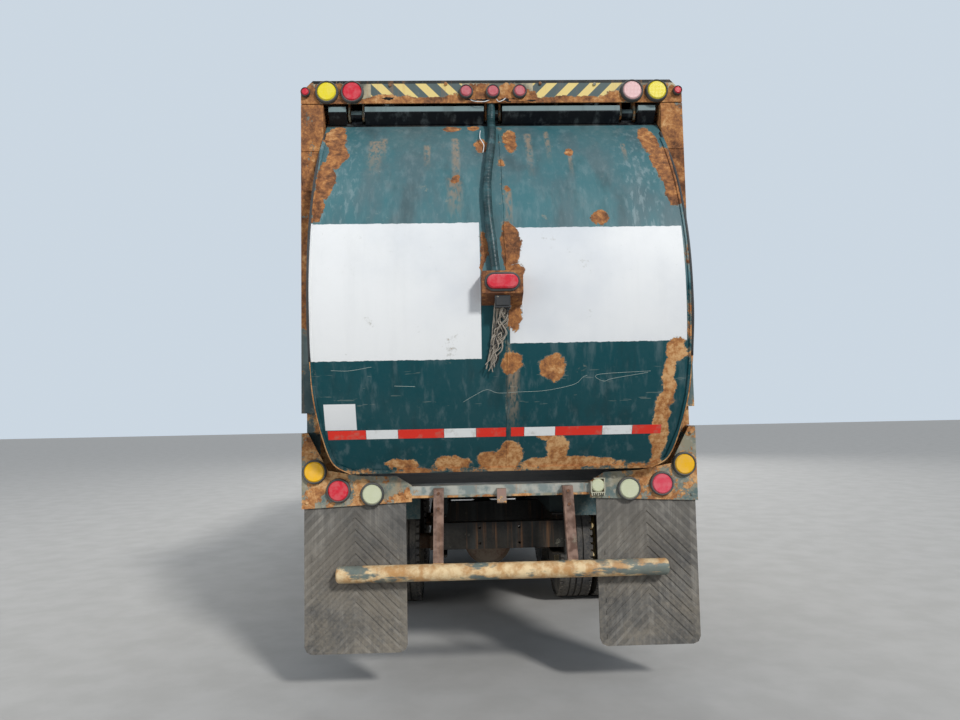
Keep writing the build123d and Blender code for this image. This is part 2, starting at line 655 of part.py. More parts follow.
def hopper():
    """Open-topped hopper: two side walls, a front wall with the arm bearings, and a step ring behind."""
    low = BODY_FLOOR_Z + BODY_WALL
    outer = HOPPER_HALF_WIDTH
    wall = side_polygon(
        [
            (BODY_FRONT_STATION, low), (HOPPER_FRONT_STATION, low), (HOPPER_FRONT_STATION, HOPPER_SILL_Z),
            (HOPPER_FRONT_STATION - HOPPER_SLOPE_LENGTH, HOPPER_SLOPE_Z),
            (BODY_FRONT_STATION + 260, BODY_ROOF_Z - 30),
            (BODY_FRONT_STATION, BODY_ROOF_Z - 30),
        ],
        outer - HOPPER_WALL, outer,
    )
    for station in HOPPER_RIB_STATIONS:
        wall += block(outer, outer + HOPPER_RIB_HEIGHT, station, station + HOPPER_RIB_WIDTH, low + 20,
                      HOPPER_SILL_Z - 60)
    walls = both_sides(wall)
    walls += block(-outer, outer, HOPPER_FRONT_STATION - HOPPER_WALL, HOPPER_FRONT_STATION, low, HOPPER_SILL_Z)
    rim = front_plate(body_outline(0), BODY_FRONT_STATION, BODY_FRONT_STATION + 30)
    rim -= block(-outer + HOPPER_WALL, outer - HOPPER_WALL, BODY_FRONT_STATION - 1, BODY_FRONT_STATION + 31,
                 low, BODY_ROOF_Z - 100)
    rim -= block(-2000, 2000, BODY_FRONT_STATION - 1, BODY_FRONT_STATION + 31, 0, low)
    walls += rim
    bearing = side_plate(
        Polyline((HOPPER_FRONT_STATION, 1560), (ARM_PIVOT[0] + 20, 1660), (ARM_PIVOT[0] + 140, ARM_PIVOT[1]),
                 (ARM_PIVOT[0] + 20, 1940), (HOPPER_FRONT_STATION, 2060), close=True),
        outer - 95, outer,
    )
    bearing -= bar_x(outer - 100, outer + 5, *ARM_PIVOT, TORQUE_TUBE_RADIUS + RUNNING_CLEARANCE)
    walls += both_sides(bearing)
    # Cylinder feet on the hopper's lower sides
    foot = side_polygon(
        [(LIFT_BASE[0] - 170, low), (LIFT_BASE[0] + 90, low), (LIFT_BASE[0] + 60, LIFT_BASE[1] + 60),
         (LIFT_BASE[0] - 60, LIFT_BASE[1] + 60), (LIFT_BASE[0] - 170, LIFT_BASE[1] - 20)],
        outer, outer + 22,
    )
    foot += bar_x(outer, LIFT_CYLINDER_X + 25, *LIFT_BASE, LIFT_PIN_RADIUS)
    return walls + both_sides(foot)


def rear_frame():
    """Channel posts joined by the rim that closes the body's rear end."""
    inner = HALF_WIDTH - POST_WIDTH
    post = block(inner, HALF_WIDTH, 0, POST_DEPTH, POST_BOTTOM_Z, POST_TOP_Z)
    post -= block(inner + POST_PLATE, HALF_WIDTH - POST_PLATE, POST_PLATE, POST_DEPTH + 1,
                  POST_BOTTOM_Z - 1, POST_TOP_Z - POST_PLATE)
    post += block(inner + POST_FOOT_INSET, HALF_WIDTH - POST_FOOT_INSET, POST_FOOT_INSET, POST_DEPTH,
                  LAMP_PLATE_TOP_Z + MOVING_GAP, POST_BOTTOM_Z)
    rim = block(-HALF_WIDTH, HALF_WIDTH, POST_DEPTH, BODY_REAR_STATION, BODY_FLOOR_Z, POST_TOP_Z)
    rim -= front_plate(body_outline(BODY_WALL), POST_DEPTH - 1, BODY_REAR_STATION + 1)
    # Slots that the tailgate's horns dip into as it opens
    slot = block(TAILGATE_HORN_X - 34 - 2 * MOVING_GAP, TAILGATE_HORN_X - 14 + 2 * MOVING_GAP,
                 POST_DEPTH - 1, BODY_REAR_STATION + 1, TAILGATE_HORN_SLOT_Z, POST_TOP_Z + 1)
    return rim - both_sides(slot) + both_sides(post)


def light_bar():
    """Lamp canopy over the tailgate: face, top, ends, ribs on the roof and the hinge brackets."""
    low = LIGHT_BAR_BOTTOM_Z
    high = LIGHT_BAR_TOP_Z
    cut = LIGHT_BAR_CHAMFER
    face = [(-HALF_WIDTH, low), (HALF_WIDTH, low), (HALF_WIDTH, high - cut), (HALF_WIDTH - cut, high),
            (cut - HALF_WIDTH, high), (-HALF_WIDTH, high - cut)]
    hood = front_polygon(face, 0, LIGHT_BAR_DEPTH)
    inner = [(x - LIGHT_BAR_PLATE * (1 if x > 0 else -1), z) for x, z in face[2:]]
    inner = [(x, z - LIGHT_BAR_PLATE) for x, z in inner]
    inside = [(inner[3][0], low - 1), (inner[0][0], low - 1)] + inner
    hood -= front_polygon(inside, LIGHT_BAR_PLATE, LIGHT_BAR_DEPTH + 1)
    roof = front_plate(body_outline(0), 0, BODY_FRONT_STATION)
    ribs = None
    for x in sorted({side * place for place in RIB_X for side in (-1, 1)}):
        rib = block(x - RIB_THICKNESS / 2, x + RIB_THICKNESS / 2, BODY_REAR_STATION, LIGHT_BAR_DEPTH,
                    BODY_EAVES_Z, high - LIGHT_BAR_PLATE / 2)
        ribs = rib if ribs is None else ribs + rib
    wall = front_polygon(face, LIGHT_BAR_DEPTH - LIGHT_BAR_PLATE, LIGHT_BAR_DEPTH)
    wall += block(-HALF_WIDTH, HALF_WIDTH, LIGHT_BAR_DEPTH - LIGHT_BAR_PLATE, LIGHT_BAR_DEPTH, BODY_EAVES_Z, low)
    slot = TAILGATE_BARREL_RADIUS + 2 * MOVING_GAP
    for side in (-1, 1):
        x = side * (TAILGATE_HORN_X + 4)
        wall -= block(x - slot, x + slot, LIGHT_BAR_DEPTH - LIGHT_BAR_PLATE - 1, LIGHT_BAR_DEPTH + 1,
                      BODY_EAVES_Z - 1, high - 2 * LIGHT_BAR_PLATE)
    bar = hood + (ribs - roof) + (wall - roof)
    # Pairs of bracket plates with the hinge pin between them
    s, z = TAILGATE_HINGE
    half = TAILGATE_LUG_RADIUS + MOVING_GAP
    for x in TAILGATE_HINGE_X:
        for side in (-1, 1):
            near = x + side * half
            bar += block(near, near + side * RIB_THICKNESS, s - 38, s + 38, z, high - LIGHT_BAR_PLATE / 2)
            bar += bar_x(near, near + side * RIB_THICKNESS, s, z, 38)
        bar += bar_x(x - half - 2, x + half + 2, s, z, TAILGATE_PIN_RADIUS)
    return bar


def tailgate_arc():
    """Centre and radius of the rolled tailgate skin in (station, z)."""
    (x1, y1), (x2, y2), (x3, y3) = TAILGATE_TOP, TAILGATE_CREST, TAILGATE_LIP
    d = 2 * (x1 * (y2 - y3) + x2 * (y3 - y1) + x3 * (y1 - y2))
    q1, q2, q3 = x1 * x1 + y1 * y1, x2 * x2 + y2 * y2, x3 * x3 + y3 * y3
    cx = (q1 * (y2 - y3) + q2 * (y3 - y1) + q3 * (y1 - y2)) / d
    cy = (q1 * (x3 - x2) + q2 * (x1 - x3) + q3 * (x2 - x1)) / d
    return (cx, cy), hypot(x1 - cx, y1 - cy)


def tailgate_skin_station(z, lift=0):
    """Station of the skin's outer face at a height, or of a surface a little outside it."""
    (cx, cy), radius = tailgate_arc()
    return cx - sqrt((radius + lift) ** 2 - (z - cy) ** 2)


def tailgate_outline(inset):
    """Front-view outline of the tailgate, drawn in by an inset at the sides and the lip."""
    top, bottom = TAILGATE_TOP[1], TAILGATE_LIP[1]
    right = []
    for share, edge in TAILGATE_EDGE:
        z = bottom + share * (top - bottom)
        right.append((HALF_WIDTH - edge - inset, min(max(z, bottom + inset), top)))
    left = [(-x, z) for x, z in reversed(right)]
    return right + left


def tailgate_shell():
    """Rolled tailgate: skin, cheeks and bottom lip as one open dish, with hinge lugs and cylinder horns."""
    (cx, cy), radius = tailgate_arc()
    top_z = TAILGATE_TOP[1]
    lip_z = TAILGATE_LIP[1]
    wall = TAILGATE_WALL
    reach = HALF_WIDTH
    disc = bar_x(-reach, reach, cx, cy, radius)
    hollow = bar_x(-reach - 1, reach + 1, cx, cy, radius - wall)
    slab = block(-reach, reach, -700, POST_DEPTH - 2 * MOVING_GAP, lip_z, top_z)
    skin = (disc & slab) - hollow
    rim = TAILGATE_RIM_STATION
    cup = (disc & block(-reach, reach, -700, rim, lip_z, top_z)) & hollow
    outline = front_polygon(tailgate_outline(0), -800, 500)
    pocket = front_polygon(tailgate_outline(wall), -801, 501)
    shell = (skin & outline) + ((cup & outline) - pocket)
    # Raised flat bar along the sides and the lip
    bar = bar_x(-reach, reach, cx, cy, radius + TAILGATE_EDGE_BAR_HEIGHT) & outline
    bar &= block(-reach, reach, -700, rim, lip_z, TAILGATE_EDGE_BAR_TOP_Z)
    bar -= front_polygon(tailgate_outline(TAILGATE_EDGE_BAR_WIDTH), -802, 502)
    shell += bar - disc
    s, z = TAILGATE_HINGE
    lug_half = TAILGATE_LUG_RADIUS
    for x in TAILGATE_HINGE_X:
        shell += bar_x(x - lug_half, x + lug_half, s, z, TAILGATE_LUG_RADIUS)
        shell += block(x - lug_half, x + lug_half, s + 2, s + TAILGATE_LUG_RADIUS, top_z - 20, z)
        shell -= bar_x(x - lug_half - 1, x + lug_half + 1, s, z, TAILGATE_PIN_RADIUS + RUNNING_CLEARANCE)
    # Top rail under the canopy's edge, notched round the hinge brackets
    rail_half = HALF_WIDTH - POST_WIDTH - TAILGATE_RAIL_END
    rail = side_polygon(
        [(s - TAILGATE_RAIL_REACH, z - 10), (s - TAILGATE_RAIL_REACH, z + TAILGATE_RAIL_RISE),
         (s - 52, z + TAILGATE_RAIL_RISE), (s - 4, top_z), (s - 4, top_z - 30), (s - 30, top_z - 20)],
        -rail_half, rail_half,
    )
    for x in TAILGATE_HINGE_X:
        rail -= block(x - TAILGATE_RAIL_NOTCH, x + TAILGATE_RAIL_NOTCH, s - 200, s + 10, top_z - 100, z + 100)
    shell += rail
    tip = horn_tip()
    for side in (-1, 1):
        x0 = side * (TAILGATE_HORN_X - 34)
        x1 = side * (TAILGATE_HORN_X - 14)
        horn = side_polygon(
            [(s + 8, top_z - 30), (s + 50, top_z - 30), (s + 44, z), (tip[0] + 26, tip[1] + 8),
             (tip[0], tip[1] + 27), (tip[0] - 26, tip[1] + 8), (s - 32, z), (s + 2, top_z)],
            x0, x1,
        )
        shell += horn
    return shell


def horn_tip(opening=0):
    """Centre of the pin hole in the tailgate's horns, with the tailgate opened by an angle."""
    return polar(TAILGATE_HINGE, TAILGATE_HORN_RADIUS, 90 + TAILGATE_HORN_ANGLE - opening)


def lamp_box():
    """Rusty box on the tailgate's crest that holds the high stop lamp, tapering underneath."""
    z0, z1 = LAMP_BOX_Z
    half = LAMP_BOX_WIDTH / 2
    face = LAMP_BOX_STATION
    box = side_polygon([(face, z0), (face, z1), (-300, z1), (-300, z0 - 105)], -half, half)
    return box - tailgate_solid()


def tailgate_solid():
    (cx, cy), radius = tailgate_arc()
    return bar_x(-HALF_WIDTH, HALF_WIDTH, cx, cy, radius)


def rear_sill():
    """Sill beam with the two lamp plates and the latch hook."""
    low, high = LAMP_PLATE_BOTTOM_Z, LAMP_PLATE_TOP_Z
    plate = front_polygon(
        [(LAMP_PLATE_INNER_X, SILL_BOTTOM_Z - 20), (HALF_WIDTH, low), (HALF_WIDTH, high),
         (HALF_WIDTH - 40, high), (HALF_WIDTH - 160, high - 230), (HALF_WIDTH - 360, high - 267),
         (LAMP_PLATE_INNER_X + 90, high - 275), (LAMP_PLATE_INNER_X, SILL_TOP_Z + 8)],
        0, POST_PLATE,
    )
    plate += block(HALF_WIDTH - POST_PLATE, HALF_WIDTH, 0, POST_DEPTH, low, high)
    beam = block(-LAMP_PLATE_INNER_X - 20, LAMP_PLATE_INNER_X + 20, POST_PLATE, POST_DEPTH,
                 SILL_BOTTOM_Z, SILL_TOP_Z)
    hook = side_polygon(
        [(POST_PLATE + 2, SILL_BOTTOM_Z - 8), (POST_PLATE + 2, SILL_TOP_Z - 20), (-30, SILL_TOP_Z - 22),
         (-44, SILL_BOTTOM_Z - 30), (-22, SILL_BOTTOM_Z - 38), (-14, SILL_BOTTOM_Z - 8)],
        -28, 28,
    )
    return both_sides(plate) + beam + hook


def lamp(x, z, radius, face_station, depth, outward=-1):
    """A round lamp standing on a face, domed lightly at the rim."""
    start = face_station + outward * SEAT_GAP
    body = bar_y(start, start + outward * depth, x, z, radius)
    rim = body.edges().filter_by(GeomType.CIRCLE).sort_by(Axis.Y)
    return chamfer(rim[0] if outward < 0 else rim[-1], min(depth, radius) * 0.3)


def lamp_pair(place):
    """A right-hand lamp's x, z and radius, and those of its mirror image."""
    x, z, radius = place
    return [(-x, z, radius), (x, z, radius)]


def lamps(places):
    """Rear lamps on the posts' plane from their x, z and radius."""
    return [lamp(x, z, radius, 0, LAMP_DEPTH) for x, z, radius in places]


def headlamps():
    return [lamp(x, z, radius, BUMPER_STATION[1], LAMP_DEPTH, 1) for x, z, radius in lamp_pair(HEADLAMP)]


def underride_guard():
    bar = bar_x(-GUARD_HALF_LENGTH, GUARD_HALF_LENGTH, GUARD_STATION, GUARD_Z, GUARD_RADIUS)
    bar = fillet(bar.edges().filter_by(GeomType.CIRCLE), 22)
    half = GUARD_STRAP_WIDTH / 2
    for low_x, high_x in GUARD_STRAPS:
        bar += front_polygon(
            [(low_x - half, GUARD_Z), (low_x + half, GUARD_Z), (high_x + half, SILL_TOP_Z - 12),
             (high_x - half, SILL_TOP_Z - 12)],
            POST_PLATE - GUARD_STRAP_DEPTH, POST_PLATE,
        )
    return bar


def mudflap():
    """Right rubber mudflap with raised chevron ribs, hung from the lamp plate's inner side."""
    outer = HALF_WIDTH - POST_PLATE - 1
    inner = outer - FLAP_WIDTH
    c = FLAP_CORNER
    start = POST_PLATE + SEAT_GAP
    flap = front_polygon(
        [(inner, FLAP_BOTTOM_Z + c), (inner + c * 0.3, FLAP_BOTTOM_Z + c * 0.3), (inner + c, FLAP_BOTTOM_Z),
         (outer - c, FLAP_BOTTOM_Z), (outer - c * 0.3, FLAP_BOTTOM_Z + c * 0.3), (outer, FLAP_BOTTOM_Z + c),
         (outer, FLAP_TOP_Z), (inner, FLAP_TOP_Z)],
        start, start + FLAP_THICKNESS,
    )
    middle = (inner + outer) / 2
    reach = FLAP_WIDTH / 2 - FLAP_RIB_MARGIN
    peak = FLAP_BOTTOM_Z + FLAP_CORNER + reach
    while peak + FLAP_RIB_WIDTH < LAMP_PLATE_BOTTOM_Z - MOVING_GAP:
        foot = peak - reach
        flap += front_polygon(
            [(middle, peak), (middle + reach, foot), (middle + reach, foot + FLAP_RIB_WIDTH),
             (middle, peak + FLAP_RIB_WIDTH), (middle - reach, foot + FLAP_RIB_WIDTH), (middle - reach, foot)],
            start - FLAP_RIB_HEIGHT, start,
        )
        peak += FLAP_RIB_PITCH
    return flap


def fender():
    """Right deck over the tandem wheels with turned-down ends and an outer skirt."""
    first, last = REAR_AXLE_STATIONS
    top = FENDER_TOP_Z
    wall = 12
    profile = [
        (first - 660, top - 330), (first - 560, top - 90), (first - 430, top), (last + 430, top),
        (last + 560, top - 90), (last + 660, top - 330), (last + 648, top - 330), (last + 550, top - 98),
        (last + 425, top - wall), (first - 425, top - wall), (first - 550, top - 98), (first - 648, top - 330),
    ]
    deck = side_polygon(profile, 590, HALF_WIDTH - 4)
    deck += block(HALF_WIDTH - 14, HALF_WIDTH - 4, first - 425, last + 425, top - 80, top - wall / 2)
    for station in (first - 300, (first + last) / 2, last + 300):
        deck += block(640, BODY_FOOT_X - 60, station - 30, station + 30, top - wall / 2, BODY_FLOOR_Z)
    return deck


def ladder():
    """Climbing ladder on the right side near the rear, stood on the body wall by clips."""
    x0, x1 = HALF_WIDTH - 30, HALF_WIDTH - 6
    low, high = BODY_FLOOR_Z + 30, BODY_EAVES_Z - 20
    s0, s1 = LADDER_STATION, LADDER_STATION + LADDER_WIDTH
    frame = block(x0, x1, s0, s0 + 26, low, high) + block(x0, x1, s1 - 26, s1, low, high)
    for step in range(LADDER_RUNGS):
        z = low + 120 + step * (high - low - 240) / (LADDER_RUNGS - 1)
        frame += bar_y(s0 + 10, s1 - 10, (x0 + x1) / 2, z, 11)
    body = front_plate(body_outline(0), s0 - 50, s1 + 50)
    for z in (low + 60, high - 60):
        for s in (s0, s1 - 26):
            clip = block(1000, x0 + 4, s, s + 26, z - 15, z + 15)
            frame += clip - body
    return frame


def cab_face(inset):
    """Cab side-view outline (station, z), drawn in by a wall thickness."""
    a = inset
    return Polyline(
        (CAB_REAR_STATION + a, CAB_ARCH_Z + a), (CAB_REAR_STATION + a, CAB_ROOF_Z - a),
        (WINDSCREEN_TOP[0] - 130 - a * 0.4, CAB_ROOF_Z - a), (WINDSCREEN_TOP[0] - a, WINDSCREEN_TOP[1] - a * 0.3),
        (CAB_FRONT_STATION - a, WINDSCREEN_BASE_Z - a * 0.2), (CAB_FRONT_STATION - a, CAB_FLOOR_Z + a),
        (ARCH_FRONT_STATION + a, CAB_FLOOR_Z + a), (ARCH_FRONT_STATION + a, CAB_ARCH_Z + a), close=True,
    )


def door_outline():
    return Polyline(
        (DOOR_REAR_STATION, DOOR_BOTTOM_Z), (DOOR_REAR_STATION, DOOR_TOP_Z),
        (DOOR_TOP_FRONT_STATION, DOOR_TOP_Z), (DOOR_FRONT_STATION, DOOR_SLANT_Z),
        (DOOR_FRONT_STATION, DOOR_BOTTOM_Z), close=True,
    )


def window_outline():
    f = WINDOW_FRAME
    return Polyline(
        (DOOR_REAR_STATION + f, WINDOW_SILL_Z), (DOOR_REAR_STATION + f, DOOR_TOP_Z - f),
        (DOOR_TOP_FRONT_STATION - f * 0.6, DOOR_TOP_Z - f), (DOOR_FRONT_STATION - f * 0.9, WINDOW_SILL_Z),
        close=True,
    )


def grown_plate(wire, grow, x0, x1):
    """A (station, z) outline grown or shrunk evenly and given thickness along X."""
    face = make_face(wire)
    if grow:
        face = offset(face, grow, kind=Kind.INTERSECTION)
    return extrude(Plane.YZ.offset(min(x0, x1)) * face, amount=abs(x1 - x0))


def windscreen_band(x_half, grow, front, back):
    """A slanted slab parallel to the windscreen, between two depths behind the cab's front face."""
    (s1, z1), (s0, z0) = WINDSCREEN_TOP, (CAB_FRONT_STATION, WINDSCREEN_BASE_Z)
    low, high = WINDSCREEN_OPENING_Z
    low -= grow
    high += grow

    def station(z, depth):
        return s0 + (s1 - s0) * (z - z0) / (z1 - z0) - depth

    return side_polygon(
        [(station(low, front), low), (station(high, front), high), (station(high, back), high),
         (station(low, back), low)],
        -x_half - grow, x_half + grow,
    )


def cab_shell():
    """Low cab: hollow pressed shell with door, windscreen and back-window openings, and open steps."""
    w = CAB_HALF_WIDTH
    shell = side_plate(cab_face(0), -w, w)
    rims = shell.edges().filter_by(lambda e: abs(e.center().X) > w - 1 and e.center().Z > CAB_FLOOR_Z + 100)
    shell = fillet(rims.filter_by(lambda e: e.center().Y > CAB_REAR_STATION + 100), CAB_CORNER)
    shell -= side_plate(cab_face(CAB_WALL), CAB_WALL - w, w - CAB_WALL)
    shell += block(-w + 60, w - 60, CAB_FRONT_STATION - 60, CAB_FRONT_STATION - 12,
                   CAB_SKIRT_Z, CAB_FLOOR_Z + 2)
    for side in (-1, 1):
        inner = side * (w - DOOR_THICKNESS - DOOR_GAP)
        shell -= grown_plate(door_outline(), DOOR_GAP, inner, side * (w + 10))
    shell -= windscreen_band(WINDSCREEN_HALF_WIDTH, 0, -120, 120)
    shell -= block(-BACK_WINDOW_X, BACK_WINDOW_X, CAB_REAR_STATION - 1, CAB_REAR_STATION + CAB_WALL + 1,
                   *BACK_WINDOW_Z)
    for side in (-1, 1):
        shell += step_well(side)
        shell += hinge_brackets(side)
    return shell


def step_well(side):
    """Two open treads in a well under the door."""
    inner, outer = side * 560, side * (CAB_HALF_WIDTH - 8)
    s0, s1 = DOOR_REAR_STATION + 30, DOOR_FRONT_STATION - 20
    well = block(inner, inner + side * 14, s0, s1, 470, CAB_FLOOR_Z)
    for s in (s0, s1 - 14):
        well += block(inner, outer, s, s + 14, 470, CAB_FLOOR_Z)
    for z in (470, 760):
        well += block(inner, outer, s0, s1, z, z + 18)
    return well - grown_plate(door_outline(), DOOR_GAP, side * (CAB_HALF_WIDTH - 60), side * 1100)


def hinge_brackets(side):
    """Fixed halves of the door hinges with their pins."""
    x, s = DOOR_HINGE
    x *= side
    group = None
    for z in DOOR_HINGE_HEIGHTS:
        foot = bar_z(z - 52, z - 31, x, s, 19)
        foot += block(side * (CAB_HALF_WIDTH - 6), x, s - 8, s + 19, z - 52, z - 31)
        foot += bar_z(z - 40, z + 26, x, s, DOOR_PIN_RADIUS)
        group = foot if group is None else group + foot
    return group


def door():
    """Right door: one slab as thick as the door with its window cut, hinge knuckles and a grab handle."""
    w = CAB_HALF_WIDTH
    leaf = grown_plate(door_outline(), 0, w - DOOR_THICKNESS, w)
    leaf -= grown_plate(window_outline(), 0, w - DOOR_THICKNESS - 1, w + 1)
    x, s = DOOR_HINGE
    for z in DOOR_HINGE_HEIGHTS:
        leaf += bar_z(z - 25, z + 25, x, s, 19)
        leaf += block(w - 4, x + 6, s - 60, DOOR_FRONT_STATION, z - 25, z + 25)
        leaf += block(w + 3, x + 6, s - 60, s, z - 25, z + 25)
        leaf -= bar_z(z - 26, z + 26, x, s, DOOR_PIN_RADIUS + RUNNING_CLEARANCE)
    leaf += block(w - 1, w + 16, DOOR_REAR_STATION + 60, DOOR_REAR_STATION + 190, 1560, 1590)
    return leaf


def door_glass():
    w = CAB_HALF_WIDTH - DOOR_THICKNESS / 2
    return grown_plate(window_outline(), -SEAT_GAP, w - GLASS_THICKNESS / 2, w + GLASS_THICKNESS / 2)


def cab_glass():
    """Windscreen and back window."""
    screen = windscreen_band(WINDSCREEN_HALF_WIDTH, -SEAT_GAP, 14, 14 + GLASS_THICKNESS)
    g = SEAT_GAP
    back = block(-BACK_WINDOW_X + g, BACK_WINDOW_X - g, CAB_REAR_STATION + 16,
                 CAB_REAR_STATION + 16 + GLASS_THICKNESS, BACK_WINDOW_Z[0] + g, BACK_WINDOW_Z[1] - g)
    return [screen, back]


def front_bumper():
    """Pressed bumper with turned ends and two towing eyes."""
    w = CAB_HALF_WIDTH - 5
    s0, s1 = BUMPER_STATION
    z0, z1 = BUMPER_Z
    bumper = block(-w, w, s0, s1, z0, z1)
    bumper = fillet(bumper.edges().filter_by(Axis.Z).sort_by(Axis.Y)[-2:], 70)
    bumper -= block(-w - 1, w + 1, s0 - 1, s1 - 90, z0 - 1, z1 + 1) & block(-w + 60, w - 60, s0 - 1, s1, 0, 3000)
    bumper += both_sides(block(RAIL_OUTER_X - RAIL_FLANGE, RAIL_OUTER_X, s0, s1 - 60, 775, z1))
    for side in (-1, 1):
        x = side * TOW_EYE_X
        eye = side_plate(tow_eye_outline(), x - TOW_EYE_THICKNESS / 2, x + TOW_EYE_THICKNESS / 2)
        eye -= bar_x(x - 40, x + 40, *TOW_EYE, TOW_EYE_BORE)
        bumper += eye
    return bumper


def tow_eye_outline():
    s, z = TOW_EYE
    r = TOW_EYE_BORE + 22
    back = BUMPER_STATION[1] - 10
    return (
        Line((back, z - r), (s, z - r)) + ThreePointArc((s, z - r), (s + r, z), (s, z + r))
        + Line((s, z + r), (back, z + r)) + Line((back, z + r), (back, z - r))
    )


def grille():
    """Slatted grille on the cab's flat nose."""
    z0, z1 = GRILLE_Z
    w = GRILLE_HALF_WIDTH
    s0, s1 = CAB_FRONT_STATION, CAB_FRONT_STATION + 26
    frame = block(-w, w, s0, s1, z0, z1) - block(35 - w, w - 35, s0 - 1, s1 + 1, z0 + 35, z1 - 35)
    pitch = (z1 - z0 - 70) / (GRILLE_SLATS + 1)
    for slat in range(1, GRILLE_SLATS + 1):
        z = z0 + 35 + slat * pitch
        frame += side_polygon([(s0 + 2, z - 4), (s0 + 22, z - 16), (s0 + 24, z - 8), (s0 + 2, z + 8)], 30 - w, w - 30)
    return frame


def seat():
    """Right seat: pedestal, cushion and back."""
    x, half = SEAT_X, SEAT_HALF_WIDTH
    s = SEAT_REAR_STATION
    floor = CAB_ARCH_Z + CAB_WALL
    pedestal = block(x - 150, x + 150, s + 50, s + 370, floor, floor + 230)
    cushion = fillet(block(x - half, x + half, s, s + 480, floor + 230, floor + 350).edges(), 35)
    back = side_polygon([(s - 60, floor + 260), (s + 60, floor + 330), (s - 30, floor + 1010), (s - 130, floor + 990)],
                        x - half, x + half)
    return pedestal + cushion + fillet(back.edges(), 30)


def dashboard():
    """Dash panel across the cab with the steering column and wheel on the left."""
    front = CAB_FRONT_STATION - CAB_WALL
    low, high = DASH_Z
    near = front - DASH_DEPTH
    panel = side_polygon(
        [(front, low), (front, high - 40), (near + 80, high), (near, high - 80), (near + 40, low)],
        -DASH_HALF_WIDTH, DASH_HALF_WIDTH,
    )
    hub = (near - 280, high + 180)
    tilt = Plane(origin=(-SEAT_X, *hub), z_dir=(0, -0.62, 0.78))
    wheel = tilt * Torus(215, 16)
    spoke = tilt * Box(424, 36, 14)
    column = bar_between(-SEAT_X, (near + 90, high - 120), (hub[0] + 5, hub[1] - 8), 34)
    return panel + (wheel + spoke + column)


def mirrors():
    """Hanging mirror heads on tubes from the cab's upper front corners."""
    shell = side_plate(cab_face(0), -CAB_HALF_WIDTH, CAB_HALF_WIDTH)
    x = 950
    head = fillet(block(x - 90, x + 90, 9480, 9530, 2060, 2500).edges(), 14)
    tube = bar_y(9100, 9505, x, 2600, 14) - shell
    drop = bar_z(2490, 2600, x, 9505, 14)
    return head + tube + drop


def exhaust_stack():
    x, s = EXHAUST_X, EXHAUST_STATION
    foot, low, high, tip = EXHAUST_Z
    stack = bar_z(foot, low, x, s, 45) + bar_z(low, high, x, s, 72) + bar_z(high, tip, x, s, 45)
    for z in (foot + 50, high - 360):
        stack += block(x - 30, x + 30, s, CAB_REAR_STATION, z, z + 40)
    return stack


def lift_arms():
    """Two gooseneck arms that arch over the cab doors, joined by the torque tube."""
    p, f = ARM_PIVOT, FORK_PIVOT
    outline = make_face(Polyline(
        (p[0] - 120, p[1]), (p[0] - 35, ARM_CROWN_Z), (f[0] - 130, ARM_CROWN_Z), (f[0] + 80, f[1]),
        (f[0] - 80, f[1]), (f[0] - 370, ARM_ARCH_Z), (p[0] + 215, ARM_ARCH_Z), (p[0] + 120, p[1]), close=True,
    ))
    corners = outline.vertices()
    outer = corners.filter_by(lambda v: v.Y > ARM_CROWN_Z - 1)
    outline = fillet(outer, ARM_OUTER_BEND)
    inner = outline.vertices().filter_by(lambda v: abs(v.Y - ARM_ARCH_Z) < 1)
    outline = fillet(inner, ARM_INNER_BEND)
    x0, x1 = ARM_INNER_X, ARM_INNER_X + ARM_WIDTH
    arm = extrude(Plane.YZ.offset(x0) * outline, amount=ARM_WIDTH)
    arm += bar_x(x0, x1, *p, ARM_HUB_RADIUS) + bar_x(x0, x1, *f, ARM_END_RADIUS)
    lug_tip = polar(p, LIFT_LUG_RADIUS, LIFT_LUG_ANGLE)
    lug = side_polygon(
        [polar(p, 140, 120), polar(lug_tip, 58, 150), polar(lug_tip, 62, 215), polar(lug_tip, 58, 285),
         polar(p, 140, 310)],
        x0, x0 + ARM_LUG_THICKNESS,
    )
    arm += lug
    base = FORK_CYLINDER_BASE
    bracket = side_polygon(
        [(base[0] + 32, base[1] - 30), (base[0] + 32, base[1] + 30), (base[0] - 200, base[1] + 95),
         (base[0] - 200, base[1] - 95)],
        x0, x0 + 14,
    )
    arm += bracket + bar_x(x0 + 4, FORK_CYLINDER_X + 24, *base, FORK_PIN_RADIUS)
    arm -= bar_x(x0 - 1, x1 + 1, *f, FORK_STUB_RADIUS + RUNNING_CLEARANCE)
    return both_sides(arm) + bar_x(-x0 - 10, x0 + 10, *p, TORQUE_TUBE_RADIUS)


